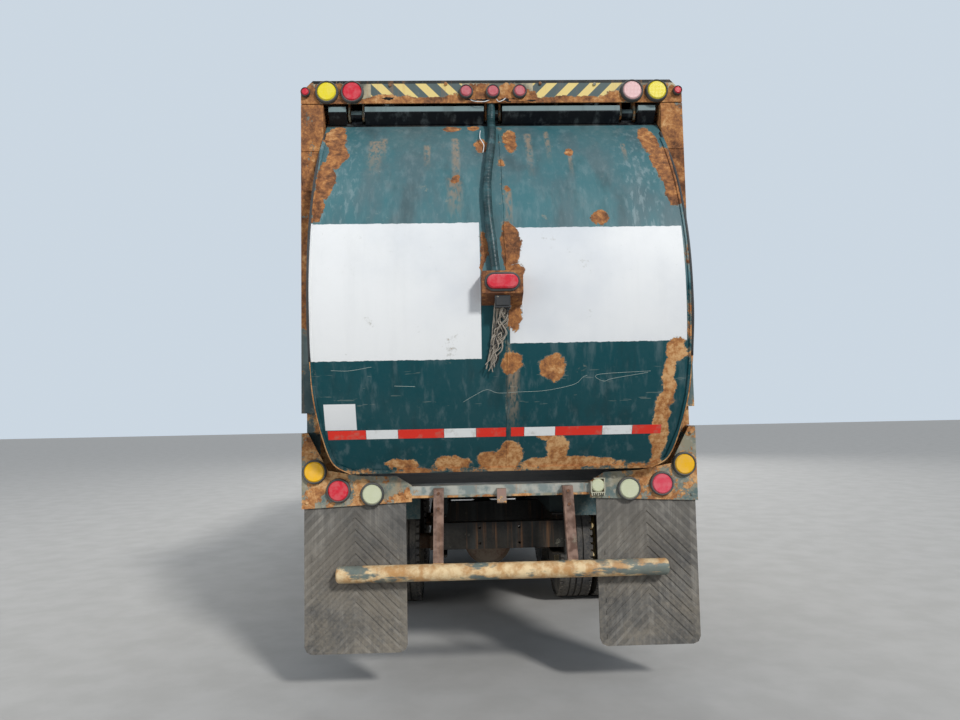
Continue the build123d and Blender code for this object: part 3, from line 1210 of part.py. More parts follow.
def forks():
    """Cross shaft with two tapered forks, folded up, and the crank plates for their cylinders."""
    f = FORK_PIVOT
    x_end = ARM_INNER_X - 10
    shaft = bar_x(-x_end, x_end, *f, FORK_SHAFT_RADIUS)
    reach = ARM_INNER_X + ARM_WIDTH
    shaft += bar_x(-reach, reach, *f, FORK_STUB_RADIUS)
    half = FORK_WIDTH / 2
    blade = side_polygon(
        [polar(f, 78, FORK_LEAN + 90), polar(polar(f, FORK_LENGTH, FORK_LEAN), 22, FORK_LEAN + 90),
         polar(polar(f, FORK_LENGTH + 12, FORK_LEAN), 6, FORK_LEAN + 90),
         polar(polar(f, FORK_LENGTH, FORK_LEAN), 22, FORK_LEAN - 90), polar(f, 78, FORK_LEAN - 90),
         polar(f, 78, FORK_LEAN + 180)],
        FORK_X - half, FORK_X + half,
    )
    eye = polar(f, FORK_CRANK_RADIUS, FORK_CRANK_ANGLE)
    a = FORK_CRANK_ANGLE
    crank = side_polygon(
        [polar(f, 74, a + 95), polar(eye, 36, a + 70), polar(eye, 36, a), polar(eye, 36, a - 70),
         polar(f, 74, a - 95), polar(f, 74, a + 180)],
        x_end - FORK_CRANK_THICKNESS, x_end,
    )
    return shaft + both_sides(blade + crank)


def packer_panel():
    """Packing blade: plate with vertical ribs, a top rail and floor shoes."""
    half = HOPPER_HALF_WIDTH - HOPPER_WALL - 10
    s = PACKER_STATION
    low = BODY_FLOOR_Z + BODY_WALL
    blade = block(-half, half, s, s + 35, low + 40, PACKER_TOP_Z)
    blade += block(-half, half, s, s + 180, PACKER_TOP_Z - 60, PACKER_TOP_Z)
    blade += block(-half, half, s, s + 180, low + 40, low + 90)
    for x in PACKER_RIB_X:
        blade += block(x - 25, x + 25, s, s + 150, low + 50, PACKER_TOP_Z - 20)
    for x in (-700, 700):
        blade += block(x - 60, x + 60, s, s + 180, low + SEAT_GAP, low + 60)
    return blade


def roof_brackets():
    """Feet on the roof that hold the tailgate cylinders' base pins."""
    s, z = TAILGATE_CYLINDER_BASE
    roof = front_plate(body_outline(0), s - 200, s + 200)
    group = None
    for side in (-1, 1):
        near = side * (TAILGATE_HORN_X - TAILGATE_BARREL_RADIUS - 24)
        foot = side_polygon([(s - 60, BODY_EAVES_Z), (s + 60, BODY_EAVES_Z), (s + 30, z + 24), (s - 30, z + 24)],
                            near, near + side * 14)
        foot = (foot - roof) + bar_x(near, near + side * 88, s, z, TAILGATE_CYLINDER_PIN_RADIUS)
        group = foot if group is None else group + foot
    return group


def cylinder(base, tip, x, barrel_radius, rod_radius, pin_radius, eye_x, retract=0):
    """Barrel and rod of a right-hand cylinder from its base pin to its rod eye.

    A cylinder that pulls has room in its bore for the length that it retracts.
    """
    run = hypot(tip[0] - base[0], tip[1] - base[1])
    ux, uz = (tip[0] - base[0]) / run, (tip[1] - base[1]) / run

    def along(distance):
        return (base[0] + ux * distance, base[1] + uz * distance)

    base_eye = pin_radius + 16
    rod_eye = rod_radius + 12
    head = run - rod_eye - 24 - retract
    barrel = bar_between(x, along(base_eye * 0.7), along(head), barrel_radius)
    barrel += bar_x(x - 20, x + 20, *base, base_eye)
    barrel -= bar_x(x - barrel_radius - 1, x + barrel_radius + 1, *base, pin_radius + RUNNING_CLEARANCE)
    barrel -= bar_between(x, along(base_eye + 40), along(head + 1), rod_radius + RUNNING_CLEARANCE)
    rod = bar_between(x, along(base_eye + 48 + retract), along(run - 6), rod_radius)
    rod += bar_x(eye_x[0], eye_x[1], *tip, rod_eye)
    return barrel, rod


def lift_cylinder():
    tip = polar(ARM_PIVOT, LIFT_LUG_RADIUS, LIFT_LUG_ANGLE)
    eye_x = (ARM_INNER_X + ARM_LUG_THICKNESS + 4, LIFT_CYLINDER_X + 28)
    return cylinder(LIFT_BASE, tip, LIFT_CYLINDER_X, LIFT_BARREL_RADIUS, LIFT_ROD_RADIUS,
                    LIFT_PIN_RADIUS, eye_x)


def fork_cylinder():
    tip = polar(FORK_PIVOT, FORK_CRANK_RADIUS, FORK_CRANK_ANGLE)
    eye_x = (ARM_INNER_X - 6, FORK_CYLINDER_X + 22)
    return cylinder(FORK_CYLINDER_BASE, tip, FORK_CYLINDER_X, FORK_BARREL_RADIUS, FORK_ROD_RADIUS,
                    FORK_PIN_RADIUS, eye_x)


def tailgate_cylinder():
    eye_x = (TAILGATE_HORN_X - 10, TAILGATE_HORN_X + 20)
    base = TAILGATE_CYLINDER_BASE
    closed, opened = horn_tip(), horn_tip(TAILGATE_OPENING)
    retract = hypot(closed[0] - base[0], closed[1] - base[1]) - hypot(opened[0] - base[0], opened[1] - base[1])
    return cylinder(base, closed, TAILGATE_HORN_X + 4, TAILGATE_BARREL_RADIUS, TAILGATE_ROD_RADIUS,
                    TAILGATE_CYLINDER_PIN_RADIUS, eye_x, retract)


def high_lamp():
    """Oblong stop lamp on the face of the lamp box."""
    z = sum(LAMP_BOX_Z) / 2
    start = LAMP_BOX_STATION - SEAT_GAP
    radius = HIGH_LAMP_HEIGHT / 2
    face = Plane.XZ.offset(-start) * (Pos(0, z) * SlotOverall(HIGH_LAMP_WIDTH, HIGH_LAMP_HEIGHT))
    body = extrude(face, amount=LAMP_DEPTH)
    return chamfer(body.faces().sort_by(Axis.Y)[0].edges(), radius * 0.2)


def conduit():
    """Taped conduit from under the lamp canopy down the rolled skin to the lamp box."""
    stand = CONDUIT_RADIUS + CONDUIT_STAND
    points = []
    for x, rise in CONDUIT_ROUTE:
        z = TAILGATE_CREST[1] + rise
        points.append((x, tailgate_skin_station(z, stand), z))
    radii = []
    for a, b, c in zip(points, points[1:], points[2:]):
        first, second = Vector(*b) - Vector(*a), Vector(*c) - Vector(*b)
        turn = radians(first.get_angle(second))
        radii.append(0.45 * min(first.length, second.length) / tan(turn / 2))
    path = FilletPolyline(*points, radius=radii)
    start = Plane(origin=path @ 0, z_dir=path % 0)
    return sweep(start * Circle(CONDUIT_RADIUS), path=path) - lamp_box()


def write_nodes(nodes):
    """Move each piece into the truck's own frame and write it to its file."""
    os.makedirs("parts", exist_ok=True)
    for name, shape in nodes.items():
        solids = shape if isinstance(shape, (list, tuple)) else [shape]
        flat = []
        for solid in solids:
            flat.extend(solid.solids())
        placed = [Pos(0, -ORIGIN_STATION, 0) * solid for solid in flat]
        whole = placed[0] if len(placed) == 1 else Compound(children=placed)
        export_step(whole, f"parts/{name}.step")


def build():
    """Every piece of the truck by node name."""
    floor, sides, roof = body_panels()
    nodes = {
        "frame_rails": frame_rails(),
        "rear_axles": rear_axles(),
        "front_axle": front_axle(),
        "driveline": driveline(),
        "tanks": tanks(),
        "body_floor": floor,
        "body_sides": sides,
        "body_roof": roof + roof_brackets(),
        "hopper": hopper(),
        "rear_frame": rear_frame(),
        "light_bar": light_bar(),
        "rear_sill": rear_sill(),
        "underride_guard": underride_guard(),
        "fenders": both_sides(fender()),
        "mudflaps": both_sides(mudflap()),
        "ladder": ladder(),
        "cab_shell": cab_shell(),
        "cab_glass": cab_glass(),
        "front_bumper": front_bumper(),
        "grille": grille(),
        "seats": both_sides(seat()),
        "dashboard": dashboard(),
        "mirrors": both_sides(mirrors()),
        "exhaust_stack": exhaust_stack(),
        "red_lamps": lamps(
            lamp_pair(BAR_RED_LAMP) + lamp_pair(BAR_CORNER_LAMP) + lamp_pair(PLATE_RED_LAMP)
            + [(x, BAR_LAMP_Z, BAR_CENTRE_RADIUS) for x in (-BAR_CENTRE_SPACING, 0, BAR_CENTRE_SPACING)]
        ),
        "amber_lamps": lamps(lamp_pair(BAR_AMBER_LAMP) + lamp_pair(PLATE_AMBER_LAMP)),
        "clear_lamps": lamps(lamp_pair(PLATE_CLEAR_LAMP) + [WORK_LAMP]) + headlamps(),
        "tailgate_shell": tailgate_shell(),
        "tailgate_lamp_box": lamp_box(),
        "tailgate_lamp": high_lamp(),
        "tailgate_conduit": conduit(),
        "packer_panel": packer_panel(),
        "lift_arms": lift_arms(),
        "forks": forks(),
    }
    for name, pair in (
        ("lift_cylinder", lift_cylinder()), ("fork_cylinder", fork_cylinder()),
        ("tailgate_cylinder", tailgate_cylinder()),
    ):
        nodes[f"{name}_barrels"] = both_sides(pair[0])
        nodes[f"{name}_rods"] = both_sides(pair[1])
    right_pieces = {
        "knuckle": knuckle(),
        "door": door(),
        "door_glass": door_glass(),
        "front_rim": front_wheel(),
        "front_tyre": tyre(FRONT_WHEEL_X, FRONT_AXLE_STATION, FRONT_TYRE_WIDTH, FRONT_TYRE_RADIUS),
    }
    for axle, station in zip(("rear", "middle"), REAR_AXLE_STATIONS):
        right_pieces[f"{axle}_rims"] = dual_wheel(station)
        right_pieces[f"{axle}_tyres"] = [
            tyre(DUAL_CENTRE_X + side * DUAL_SPACING / 2, station, REAR_TYRE_WIDTH, REAR_TYRE_RADIUS)
            for side in (-1, 1)
        ]
    for name, piece in right_pieces.items():
        nodes[f"{name}_right"] = piece
        if isinstance(piece, list):
            nodes[f"{name}_left"] = [mirror(solid, about=Plane.YZ) for solid in piece]
        else:
            nodes[f"{name}_left"] = mirror(piece, about=Plane.YZ)
    return nodes


write_nodes(build())
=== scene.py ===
"""Front-loading garbage truck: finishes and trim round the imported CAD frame.

Laid out as an add-on: the sizes and colours are properties, and each group of pieces is an operator.
"""
from math import atan2, cos, hypot, pi, sin, sqrt

import bmesh
import bpy
from bpy.props import FloatProperty, FloatVectorProperty, IntProperty, PointerProperty
from mathutils import Matrix, Vector


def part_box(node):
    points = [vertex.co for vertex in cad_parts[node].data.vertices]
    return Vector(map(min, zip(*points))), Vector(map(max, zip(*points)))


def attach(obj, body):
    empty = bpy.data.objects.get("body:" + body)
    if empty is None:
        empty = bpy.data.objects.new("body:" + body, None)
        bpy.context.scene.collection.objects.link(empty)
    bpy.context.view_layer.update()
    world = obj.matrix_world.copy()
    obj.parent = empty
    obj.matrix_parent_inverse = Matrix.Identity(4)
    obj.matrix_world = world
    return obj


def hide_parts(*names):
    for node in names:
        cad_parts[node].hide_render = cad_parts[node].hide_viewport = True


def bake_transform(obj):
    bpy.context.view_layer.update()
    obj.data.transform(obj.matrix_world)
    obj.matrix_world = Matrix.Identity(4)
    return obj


bl_info = {
    "name": "Garbage Truck Finish",
    "version": (1, 0, 0),
    "blender": (4, 5, 0),
    "location": "3D View > Sidebar > Truck",
    "description": "Paint, rust, stripes, lamps and trim for a front-loading garbage truck",
    "category": "Object",
}

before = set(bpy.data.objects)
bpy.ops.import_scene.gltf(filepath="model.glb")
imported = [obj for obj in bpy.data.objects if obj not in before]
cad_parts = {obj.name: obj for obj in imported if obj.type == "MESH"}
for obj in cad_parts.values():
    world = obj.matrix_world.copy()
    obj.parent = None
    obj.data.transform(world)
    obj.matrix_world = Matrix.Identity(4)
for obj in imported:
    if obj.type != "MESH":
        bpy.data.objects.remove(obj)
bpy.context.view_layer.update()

# Planes and curves of the frame that the trim lies on, in metres
POST_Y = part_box("rear_frame")[0].y
HALF_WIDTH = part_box("light_bar")[1].x
GATE_CENTRE = (POST_Y + 1.25348, 2.37743)
GATE_RADIUS = 1.67357
SEAM_X = 0.03
SIDES = {"left": -1, "right": 1}


def gate_y(z, lift=0.0):
    """Y of the tailgate's rolled skin at a height, or of a surface a little outside it."""
    return GATE_CENTRE[0] - sqrt((GATE_RADIUS + lift) ** 2 - (z - GATE_CENTRE[1]) ** 2)


def colour(name, default, description):
    return FloatVectorProperty(name=name, subtype="COLOR", size=3, min=0, max=1, default=default,
                               description=description)


def length(name, default, description):
    return FloatProperty(name=name, unit="LENGTH", min=0, default=default, description=description)


class TruckColours(bpy.types.PropertyGroup):
    """Colours of the truck's finishes"""
    green: colour("Body green", (0.004, 0.063, 0.076), "Dark paint of the body, arms and tailgate's foot")
    faded: colour("Faded green", (0.056, 0.172, 0.192), "Chalked paint of the tailgate's upper half")
    cream: colour("Cream", (0.66, 0.52, 0.27), "Paint of the body sides and wheels")
    white: colour("White field", (0.86, 0.86, 0.845), "Painted-out fields")
    frame_black: colour("Frame black", (0.006, 0.006, 0.006), "Chassis paint")
    rust: colour("Rust", (0.47, 0.200, 0.066), "Middle tone of the rust")
    rust_dark: colour("Dark rust", (0.125, 0.055, 0.028), "Deep tone of the rust")
    rust_pale: colour("Pale rust", (0.70, 0.41, 0.185), "Dusty tone of the rust")
    rubber: colour("Rubber", (0.030, 0.030, 0.031), "Tyres, grommets and seals")
    flap: colour("Flap rubber", (0.135, 0.128, 0.116), "Weathered mudflap rubber")
    dust: colour("Road dust", (0.33, 0.28, 0.21), "Dust that settles low and on ledges")
    red_lens: colour("Red lens", (0.60, 0.012, 0.030), "Stop and tail lamps")
    amber_lens: colour("Amber lens", (0.83, 0.44, 0.005), "Turn lamps")
    clear_lens: colour("Clear lens", (0.55, 0.57, 0.38), "Reversing lamps, yellowed")
    tape_red: colour("Tape red", (0.84, 0.036, 0.020), "Reflective tape")
    tape_white: colour("Tape white", (0.88, 0.89, 0.87), "Reflective tape")


USUAL_GROMMET = 0.013


class TruckSizes(bpy.types.PropertyGroup):
    """Sizes of the pieces that the scene adds"""
    weld: length("Weld bead", 0.007, "Half width of the tailgate's seam weld")
    tape: length("Tape width", 0.052, "Width of the reflective tape")
    grommet: length("Grommet", USUAL_GROMMET, "Width of the rubber ring round a lamp")
    groove: length("Tread groove", 0.012, "Depth of the tyre's grooves")
    bolt: length("Bolt", 0.011, "Half width of a plate bolt's head")
    ribs: IntProperty(name="Tread ribs", default=5, min=3, max=7, description="Ribs round each tyre")


def colours():
    return bpy.context.scene.truck_colours


def sizes():
    return bpy.context.scene.truck_sizes


# Shader building

class Graph:
    """Adds nodes to a shader tree and joins them."""

    def __init__(self, tree):
        self.tree = tree
        self.count = 0

    def add(self, kind, inputs=None, **settings):
        node = self.tree.nodes.new(kind)
        node.location = (self.count % 12 * 190, -(self.count // 12) * 260)
        self.count += 1
        for name, value in settings.items():
            setattr(node, name, value)
        self.feed(node, inputs or {})
        return node

    def feed(self, node, inputs):
        """Links or sets a node's inputs, by name or number."""
        for key, value in inputs.items():
            if isinstance(value, bpy.types.NodeSocket):
                self.tree.links.new(value, node.inputs[key])
            else:
                node.inputs[key].default_value = value

    def math(self, operation, *values):
        return self.add("ShaderNodeMath", dict(enumerate(values)), operation=operation).outputs[0]

    def chain(self, operation, values):
        """One value out of many, two at a time."""
        total = values[0]
        for value in values[1:]:
            total = self.math(operation, total, value)
        return total

    def add_up(self, *values):
        return self.chain("ADD", values)

    def times(self, *values):
        return self.chain("MULTIPLY", values)

    def most(self, *values):
        return self.chain("MAXIMUM", values)

    def distance(self, value, middle=0.0):
        """How far a value lies from a middle, on either side."""
        return self.math("ABSOLUTE", self.add_up(value, -middle) if middle else value)

    def waves(self, value, rate):
        """Sine of a length, at a rate in radians a metre."""
        return self.math("SINE", self.times(value, rate))

    def vector(self, operation, a, b, output=0):
        return self.add("ShaderNodeVectorMath", {0: a, 1: b}, operation=operation).outputs[output]

    def noise(self, vector, scale, detail=4.0, roughness=0.55, output="Fac"):
        node = self.add("ShaderNodeTexNoise", {"Vector": vector, "Scale": scale, "Detail": detail,
                                               "Roughness": roughness})
        return node.outputs[output]

    def stretched(self, vector, scale, detail=3.0, roughness=0.55, shift=(0, 0, 0)):
        """Noise with its own scale on each axis."""
        moved = self.vector("ADD", vector, shift)
        return self.noise(self.vector("MULTIPLY", moved, scale), 1.0, detail, roughness)

    def band(self, value, low, high, start=0.0, end=1.0):
        """Eases from start to end while the value goes from low to high."""
        node = self.add("ShaderNodeMapRange", {0: value, 1: low, 2: high, 3: start, 4: end},
                        interpolation_type="SMOOTHSTEP")
        return node.outputs[0]

    def mix(self, factor, a, b):
        """The first colour where the factor is 0, the second where it is 1."""
        def full(c):
            return c if isinstance(c, bpy.types.NodeSocket) or len(c) == 4 else (*c, 1)

        return self.add("ShaderNodeMix", {0: factor, 6: full(a), 7: full(b)}, data_type="RGBA").outputs[2]

    def ramp(self, value, stops):
        """Colours between (value, colour) stops."""
        node = self.add("ShaderNodeValToRGB", {0: value})
        elements = node.color_ramp.elements
        for place, _ in stops[2:]:
            elements.new(place)
        for element, (place, tone) in zip(elements, stops):
            element.position = place
            element.color = (*tone, 1)
        return node.outputs[0]

    def axes(self, vector):
        return self.add("ShaderNodeSeparateXYZ", {0: vector}).outputs

    def use(self, name, inputs):
        """Places a shared group and returns its outputs."""
        return self.add("ShaderNodeGroup", inputs, node_tree=bpy.data.node_groups[name]).outputs

    def between(self, value, rise, fall):
        """One between a rise and a fall, each given by where it starts and ends."""
        return self.times(self.band(value, *rise), self.band(value, *fall, 1, 0))

    def box_mask(self, x, z, x0, x1, z0, z1, soft=0.003):
        """One inside an (x, z) box, nothing outside."""
        sides = []
        for value, low, high in ((x, x0, x1), (z, z0, z1)):
            sides.append(self.band(value, low - soft, low + soft))
            sides.append(self.band(value, high - soft, high + soft, 1, 0))
        return self.times(*sides)


KINDS = {"vector": "NodeSocketVector", "value": "NodeSocketFloat", "colour": "NodeSocketColor"}


def shared_group(name, inputs, outputs):
    """An empty node group with named sockets, from (label, kind, default) rows."""
    tree = bpy.data.node_groups.new(name, "ShaderNodeTree")
    for label, kind, default in inputs:
        socket = tree.interface.new_socket(label, in_out="INPUT", socket_type=KINDS[kind])
        if default is not None:
            socket.default_value = default
    for label, kind in outputs:
        tree.interface.new_socket(label, in_out="OUTPUT", socket_type=KINDS[kind])
    graph = Graph(tree)
    return graph, graph.add("NodeGroupInput").outputs, graph.add("NodeGroupOutput")


def rust_group():
    """Flaking rust that blooms through paint: ragged mask, mixed tones made paler low down and darker high up
    as painted light, and a pitted height.
    """
    c = colours()
    g, given, out = shared_group(
        "Rust Bloom",
        [("Vector", "vector", None), ("Scale", "value", 5.0), ("Amount", "value", 0.0),
         ("Extra", "value", 0.0)],
        [("Mask", "value"), ("Halo", "value"), ("Colour", "colour"), ("Height", "value")])
    place = given["Vector"]
    coarse = g.noise(place, given["Scale"], 9, 0.62)
    tone = g.noise(place, 26, 9, 0.72)
    grain = g.times(g.add_up(g.noise(place, 70, 5, 0.7), -0.5), 0.22)
    level = g.add_up(coarse, g.times(given["Amount"], 0.5), g.times(given["Extra"], 0.55), grain)
    mask = g.band(level, 0.665, 0.695)
    halo = g.band(level, 0.60, 0.68)
    drift = g.noise(place, 5, 3, 0.5)
    # painted light: rust tones paler below 1.8 m and darker above 2.6 m, making up for the lower tailgate
    # turning away from the sun
    low = g.band(g.axes(place)[2], 1.8, 2.6, 0.065, -0.020)
    blend = g.add_up(g.times(tone, 0.7), g.times(drift, 0.3), low)
    tint = g.ramp(blend, [(0.38, c.rust_dark), (0.46, (0.28, 0.115, 0.047)), (0.54, c.rust),
                          (0.64, c.rust_pale)])
    height = g.times(mask, g.add_up(g.times(tone, 1.2), 0.4))
    g.feed(out, {"Mask": mask, "Halo": halo, "Colour": tint, "Height": height})


def paint_group():
    """Old paint: chalking, pale and dark runs down the panel, fine speckle."""
    g, given, out = shared_group(
        "Weathered Paint",
        [("Vector", "vector", None), ("Paint", "colour", (0.1, 0.2, 0.2, 1)), ("Chalk", "value", 0.3),
         ("Runs", "value", 0.3)],
        [("Colour", "colour"), ("Roughness", "value"), ("Height", "value")])
    place = given["Vector"]
    bright = g.add("ShaderNodeRGBToBW", {0: given["Paint"]}).outputs[0]
    runs = g.times(given["Runs"], g.band(bright, 0.50, 0.70, 1.0, 0.12))
    cloud = g.noise(place, 1.6, 6, 0.62)
    fine = g.noise(place, 34, 7, 0.7)
    cover = g.band(g.add_up(g.times(cloud, 0.75), g.times(fine, 0.25)), 0.40, 0.64)
    chalk = g.times(cover, given["Chalk"])
    pale = g.mix(0.18, given["Paint"], PAINT_CHALK)
    tone = g.mix(chalk, given["Paint"], pale)
    light = g.band(g.stretched(place, (17, 17, 0.55), 4, 0.6), 0.50, 0.72)
    tone = g.mix(g.times(light, runs, 0.45), tone, g.mix(0.45, tone, RUN_PALE))
    dark = g.band(g.stretched(place, (8, 8, 0.4), 4, 0.6, (4.1, 2.7, 1.3)), 0.52, 0.74)
    tone = g.mix(g.times(dark, runs, 0.6), tone, g.mix(0.6, tone, RUN_DARK))
    speck = g.band(fine, 0.62, 0.74)
    tone = g.mix(g.times(speck, given["Chalk"], 0.5), tone, PAINT_SPECK)
    rough = g.add_up(0.34, g.times(chalk, 0.30), g.times(fine, 0.16))
    g.feed(out, {"Colour": tone, "Roughness": rough, "Height": g.times(cloud, 0.3)})


def dust_group():
    """Dust on ledges and low down, where the wheels throw it."""
    g, given, out = shared_group(
        "Road Dust",
        [("Vector", "vector", None), ("Colour", "colour", (0.1, 0.1, 0.1, 1)), ("Amount", "value", 0.5),
         ("Dust", "colour", (*colours().dust, 1))],
        [("Colour", "colour"), ("Mask", "value")])
    place = given["Vector"]
    facing = g.axes(g.add("ShaderNodeNewGeometry").outputs["Normal"])[2]
    ledge = g.band(facing, 0.35, 0.9)
    low = g.band(g.axes(place)[2], 0.15, 1.5, 1.0, 0.0)
    speckle = g.add_up(g.times(g.noise(place, 2.6, 7, 0.65), 0.7), g.times(g.noise(place, 55, 4, 0.6), 0.3))
    settled = g.add_up(g.times(ledge, 0.75), g.times(low, 0.75), 0.12)
    mask = g.math("MINIMUM", g.times(settled, g.band(speckle, 0.36, 0.62), given["Amount"]), 0.92)
    g.feed(out, {"Colour": g.mix(mask, given["Colour"], given["Dust"]), "Mask": mask})


def spot_group():
    """One soft-edged oval on the (x, z) plane."""
    g, given, out = shared_group(
        "Oval Spot", [("Vector", "vector", None), ("Centre", "vector", None), ("Size", "vector", None)],
        [("Mask", "value")])
    offset = g.vector("SUBTRACT", given["Vector"], given["Centre"])
    scaled = g.vector("MULTIPLY", g.vector("DIVIDE", offset, given["Size"]), (1, 0, 1))
    distance = g.vector("LENGTH", scaled, (0, 0, 0), "Value")
    g.feed(out, {"Mask": g.band(distance, 0.45, 1.45, 1.0, 0.0)})


def start_material(name):
    """Makes a material, and returns its graph, the object's own coordinates and its Principled shader."""
    material = bpy.data.materials.new(f"truck_{name}")
    material.use_nodes = True
    material.node_tree.nodes.clear()
    g = Graph(material.node_tree)
    place = g.add("ShaderNodeTexCoord").outputs["Object"]
    shader = g.add("ShaderNodeBsdfPrincipled", {"Specular IOR Level": 0.35})
    g.add("ShaderNodeOutputMaterial", {0: shader.outputs[0]})
    return g, place, shader


def join(g, shader, **sockets):
    """Feeds the shader's inputs, named with underscores for spaces."""
    g.feed(shader, {label.replace("_", " "): value for label, value in sockets.items()})


def bump(g, height, distance, strength):
    """A normal bent by a height."""
    bumped = g.add("ShaderNodeBump", {"Height": height, "Distance": distance, "Strength": strength})
    return bumped.outputs["Normal"]


def dusty(g, place, tone, amount):
    """Road dust over a tone; returns the outputs Colour and Mask."""
    return g.use("Road Dust", {"Vector": place, "Colour": tone, "Amount": amount})


def shifted(tone, factor, lift=0.0):
    """A darker or lighter tone."""
    return tuple(value * factor + lift for value in tone)


def painted(name, paint, chalk, runs, rust, scale, dust, pattern=None, wear=None, stain=0.25):
    """Weathered paint over steel. The pattern gives the paint's colour and wear adds rust, both by place."""
    g, place, shader = start_material(name)
    tint = pattern(g, place) if pattern else (*paint, 1)
    chalk = chalk(g, place) if callable(chalk) else chalk
    layer = g.use("Weathered Paint", {"Vector": place, "Paint": tint, "Chalk": chalk, "Runs": runs})
    extra = wear(g, place) if wear else 0.0
    bloom = g.use("Rust Bloom", {"Vector": place, "Scale": scale, "Amount": rust, "Extra": extra})
    c = colours()
    drip = g.band(g.stretched(place, (21, 21, 0.8), 4, 0.6, (1.7, 3.1, 0.4)), 0.54, 0.74)
    tone = g.mix(g.times(drip, stain), layer["Colour"], c.rust)
    tone = g.mix(g.times(bloom["Halo"], 0.5), tone, HALO_TAN)
    tone = g.mix(bloom["Mask"], tone, bloom["Colour"])
    dusted = dusty(g, place, tone, dust)
    rough = g.most(layer["Roughness"], g.times(bloom["Mask"], 0.86), g.times(dusted["Mask"], 0.9))
    height = g.add_up(bloom["Height"], layer["Height"])
    join(g, shader, Base_Color=dusted["Colour"], Roughness=rough, Specular_IOR_Level=0.20,
         Normal=bump(g, height, 0.0025, 0.7))


# Patterns: the paint's colour and the rust's places, by (x, z) on the truck

# x, z, half width and half height of the rust seen on the tailgate
GATE_RUST = (
    (-0.990, 3.44, 0.072, 0.12), (-0.965, 3.28, 0.062, 0.09), (-1.018, 3.10, 0.048, 0.13),
    (-1.050, 2.94, 0.034, 0.10), (0.975, 3.40, 0.060, 0.12), (1.015, 3.22, 0.065, 0.12),
    (1.045, 3.03, 0.045, 0.12), (-0.265, 3.520, 0.060, 0.034), (-0.125, 3.530, 0.034, 0.022),
    (-0.085, 3.36, 0.045, 0.060), (0.095, 3.40, 0.038, 0.105), (0.455, 3.300, 0.026, 0.030),
    (0.590, 2.830, 0.048, 0.048), (-0.245, 3.095, 0.026, 0.030), (0.060, 3.020, 0.020, 0.022),
    (0.062, 2.66, 0.055, 0.14), (-0.098, 2.64, 0.022, 0.12), (0.080, 2.50, 0.055, 0.06),
    (0.075, 2.26, 0.040, 0.10), (0.060, 1.985, 0.060, 0.055), (0.285, 1.965, 0.078, 0.072),
    (0.325, 1.485, 0.070, 0.085), (0.240, 1.560, 0.050, 0.030), (0.935, 1.60, 0.050, 0.20),
    (0.965, 1.86, 0.040, 0.14), (1.000, 2.05, 0.055, 0.07), (-0.60, 1.41, 0.09, 0.028),
    (-0.30, 1.415, 0.10, 0.036), (-0.02, 1.43, 0.13, 0.055), (0.06, 1.47, 0.07, 0.055),
    (0.42, 1.405, 0.24, 0.036),
)
# x, top, half width, drop of the rusty runs below a spot
GATE_RUNS = (
    (-0.740, 3.40, 0.060, 0.34), (-0.690, 3.42, 0.030, 0.20), (-0.245, 3.42, 0.034, 0.60),
    (-0.255, 3.10, 0.060, 0.34), (0.210, 3.46, 0.030, 0.42), (0.330, 3.48, 0.022, 0.30),
    (0.060, 3.02, 0.030, 0.40), (0.800, 3.36, 0.020, 0.16), (0.455, 3.28, 0.018, 0.20),
    (-0.420, 3.36, 0.028, 0.22), (0.060, 1.95, 0.05, 0.50),
)
# x from, x to, z from, z to of the painted-out fields: two with shaken edges, then a small sharp one
WHITE_FIELDS = ((-1.100, -0.118, 2.018, 2.812), (0.045, 1.062, 2.104, 2.778), (-1.030, -0.848, 1.620, 1.770))
SHARP_FIELD = WHITE_FIELDS[2]
# heights where the tailgate's green turns chalky, where the canopy's painted shadow on the rail begins, and
# where the painted highlight along the rail's lit top begins
GATE_CHALKY = (2.40, 2.46)
GATE_RAIL_SHADOW = (3.548, 3.556)
GATE_CREST_HIGHLIGHT = (3.634, 3.637)
# x, z, half width and half height of the rust on the lamp canopy
CANOPY_RUST = (
    (-1.18, 3.74, 0.06, 0.07), (-0.97, 3.74, 0.05, 0.08), (0.0, 3.72, 0.30, 0.05), (-0.08, 3.76, 0.10, 0.06),
    (0.10, 3.76, 0.08, 0.06), (0.22, 3.73, 0.07, 0.05), (0.98, 3.74, 0.06, 0.07), (1.18, 3.73, 0.06, 0.06),
    (-0.66, 3.705, 0.16, 0.03), (-0.40, 3.70, 0.12, 0.025), (0.50, 3.70, 0.20, 0.025), (0.78, 3.72, 0.10, 0.04),
)
# pitch of the warning stripes, and how far they run from the fold in their middle
STRIPE_PITCH = 0.140
STRIPE_SPAN = (0.225, 0.81)
# x from, x to, z from, z to of the sill bar between the lamp plates, and of the latch hook below it
SILL_BAR = (-0.56, 0.56, 1.205, 1.262)
LATCH_HOOK = (-0.032, 0.032, 1.10, 1.30)
# y from, y to, z from, z to of the cream field on the body sides
BODY_FIELD = (POST_Y + 0.32, POST_Y + 4.44, 1.66, 3.30)
# height where the underride bar's straps begin
STRAP_Z = (0.802, 0.806)

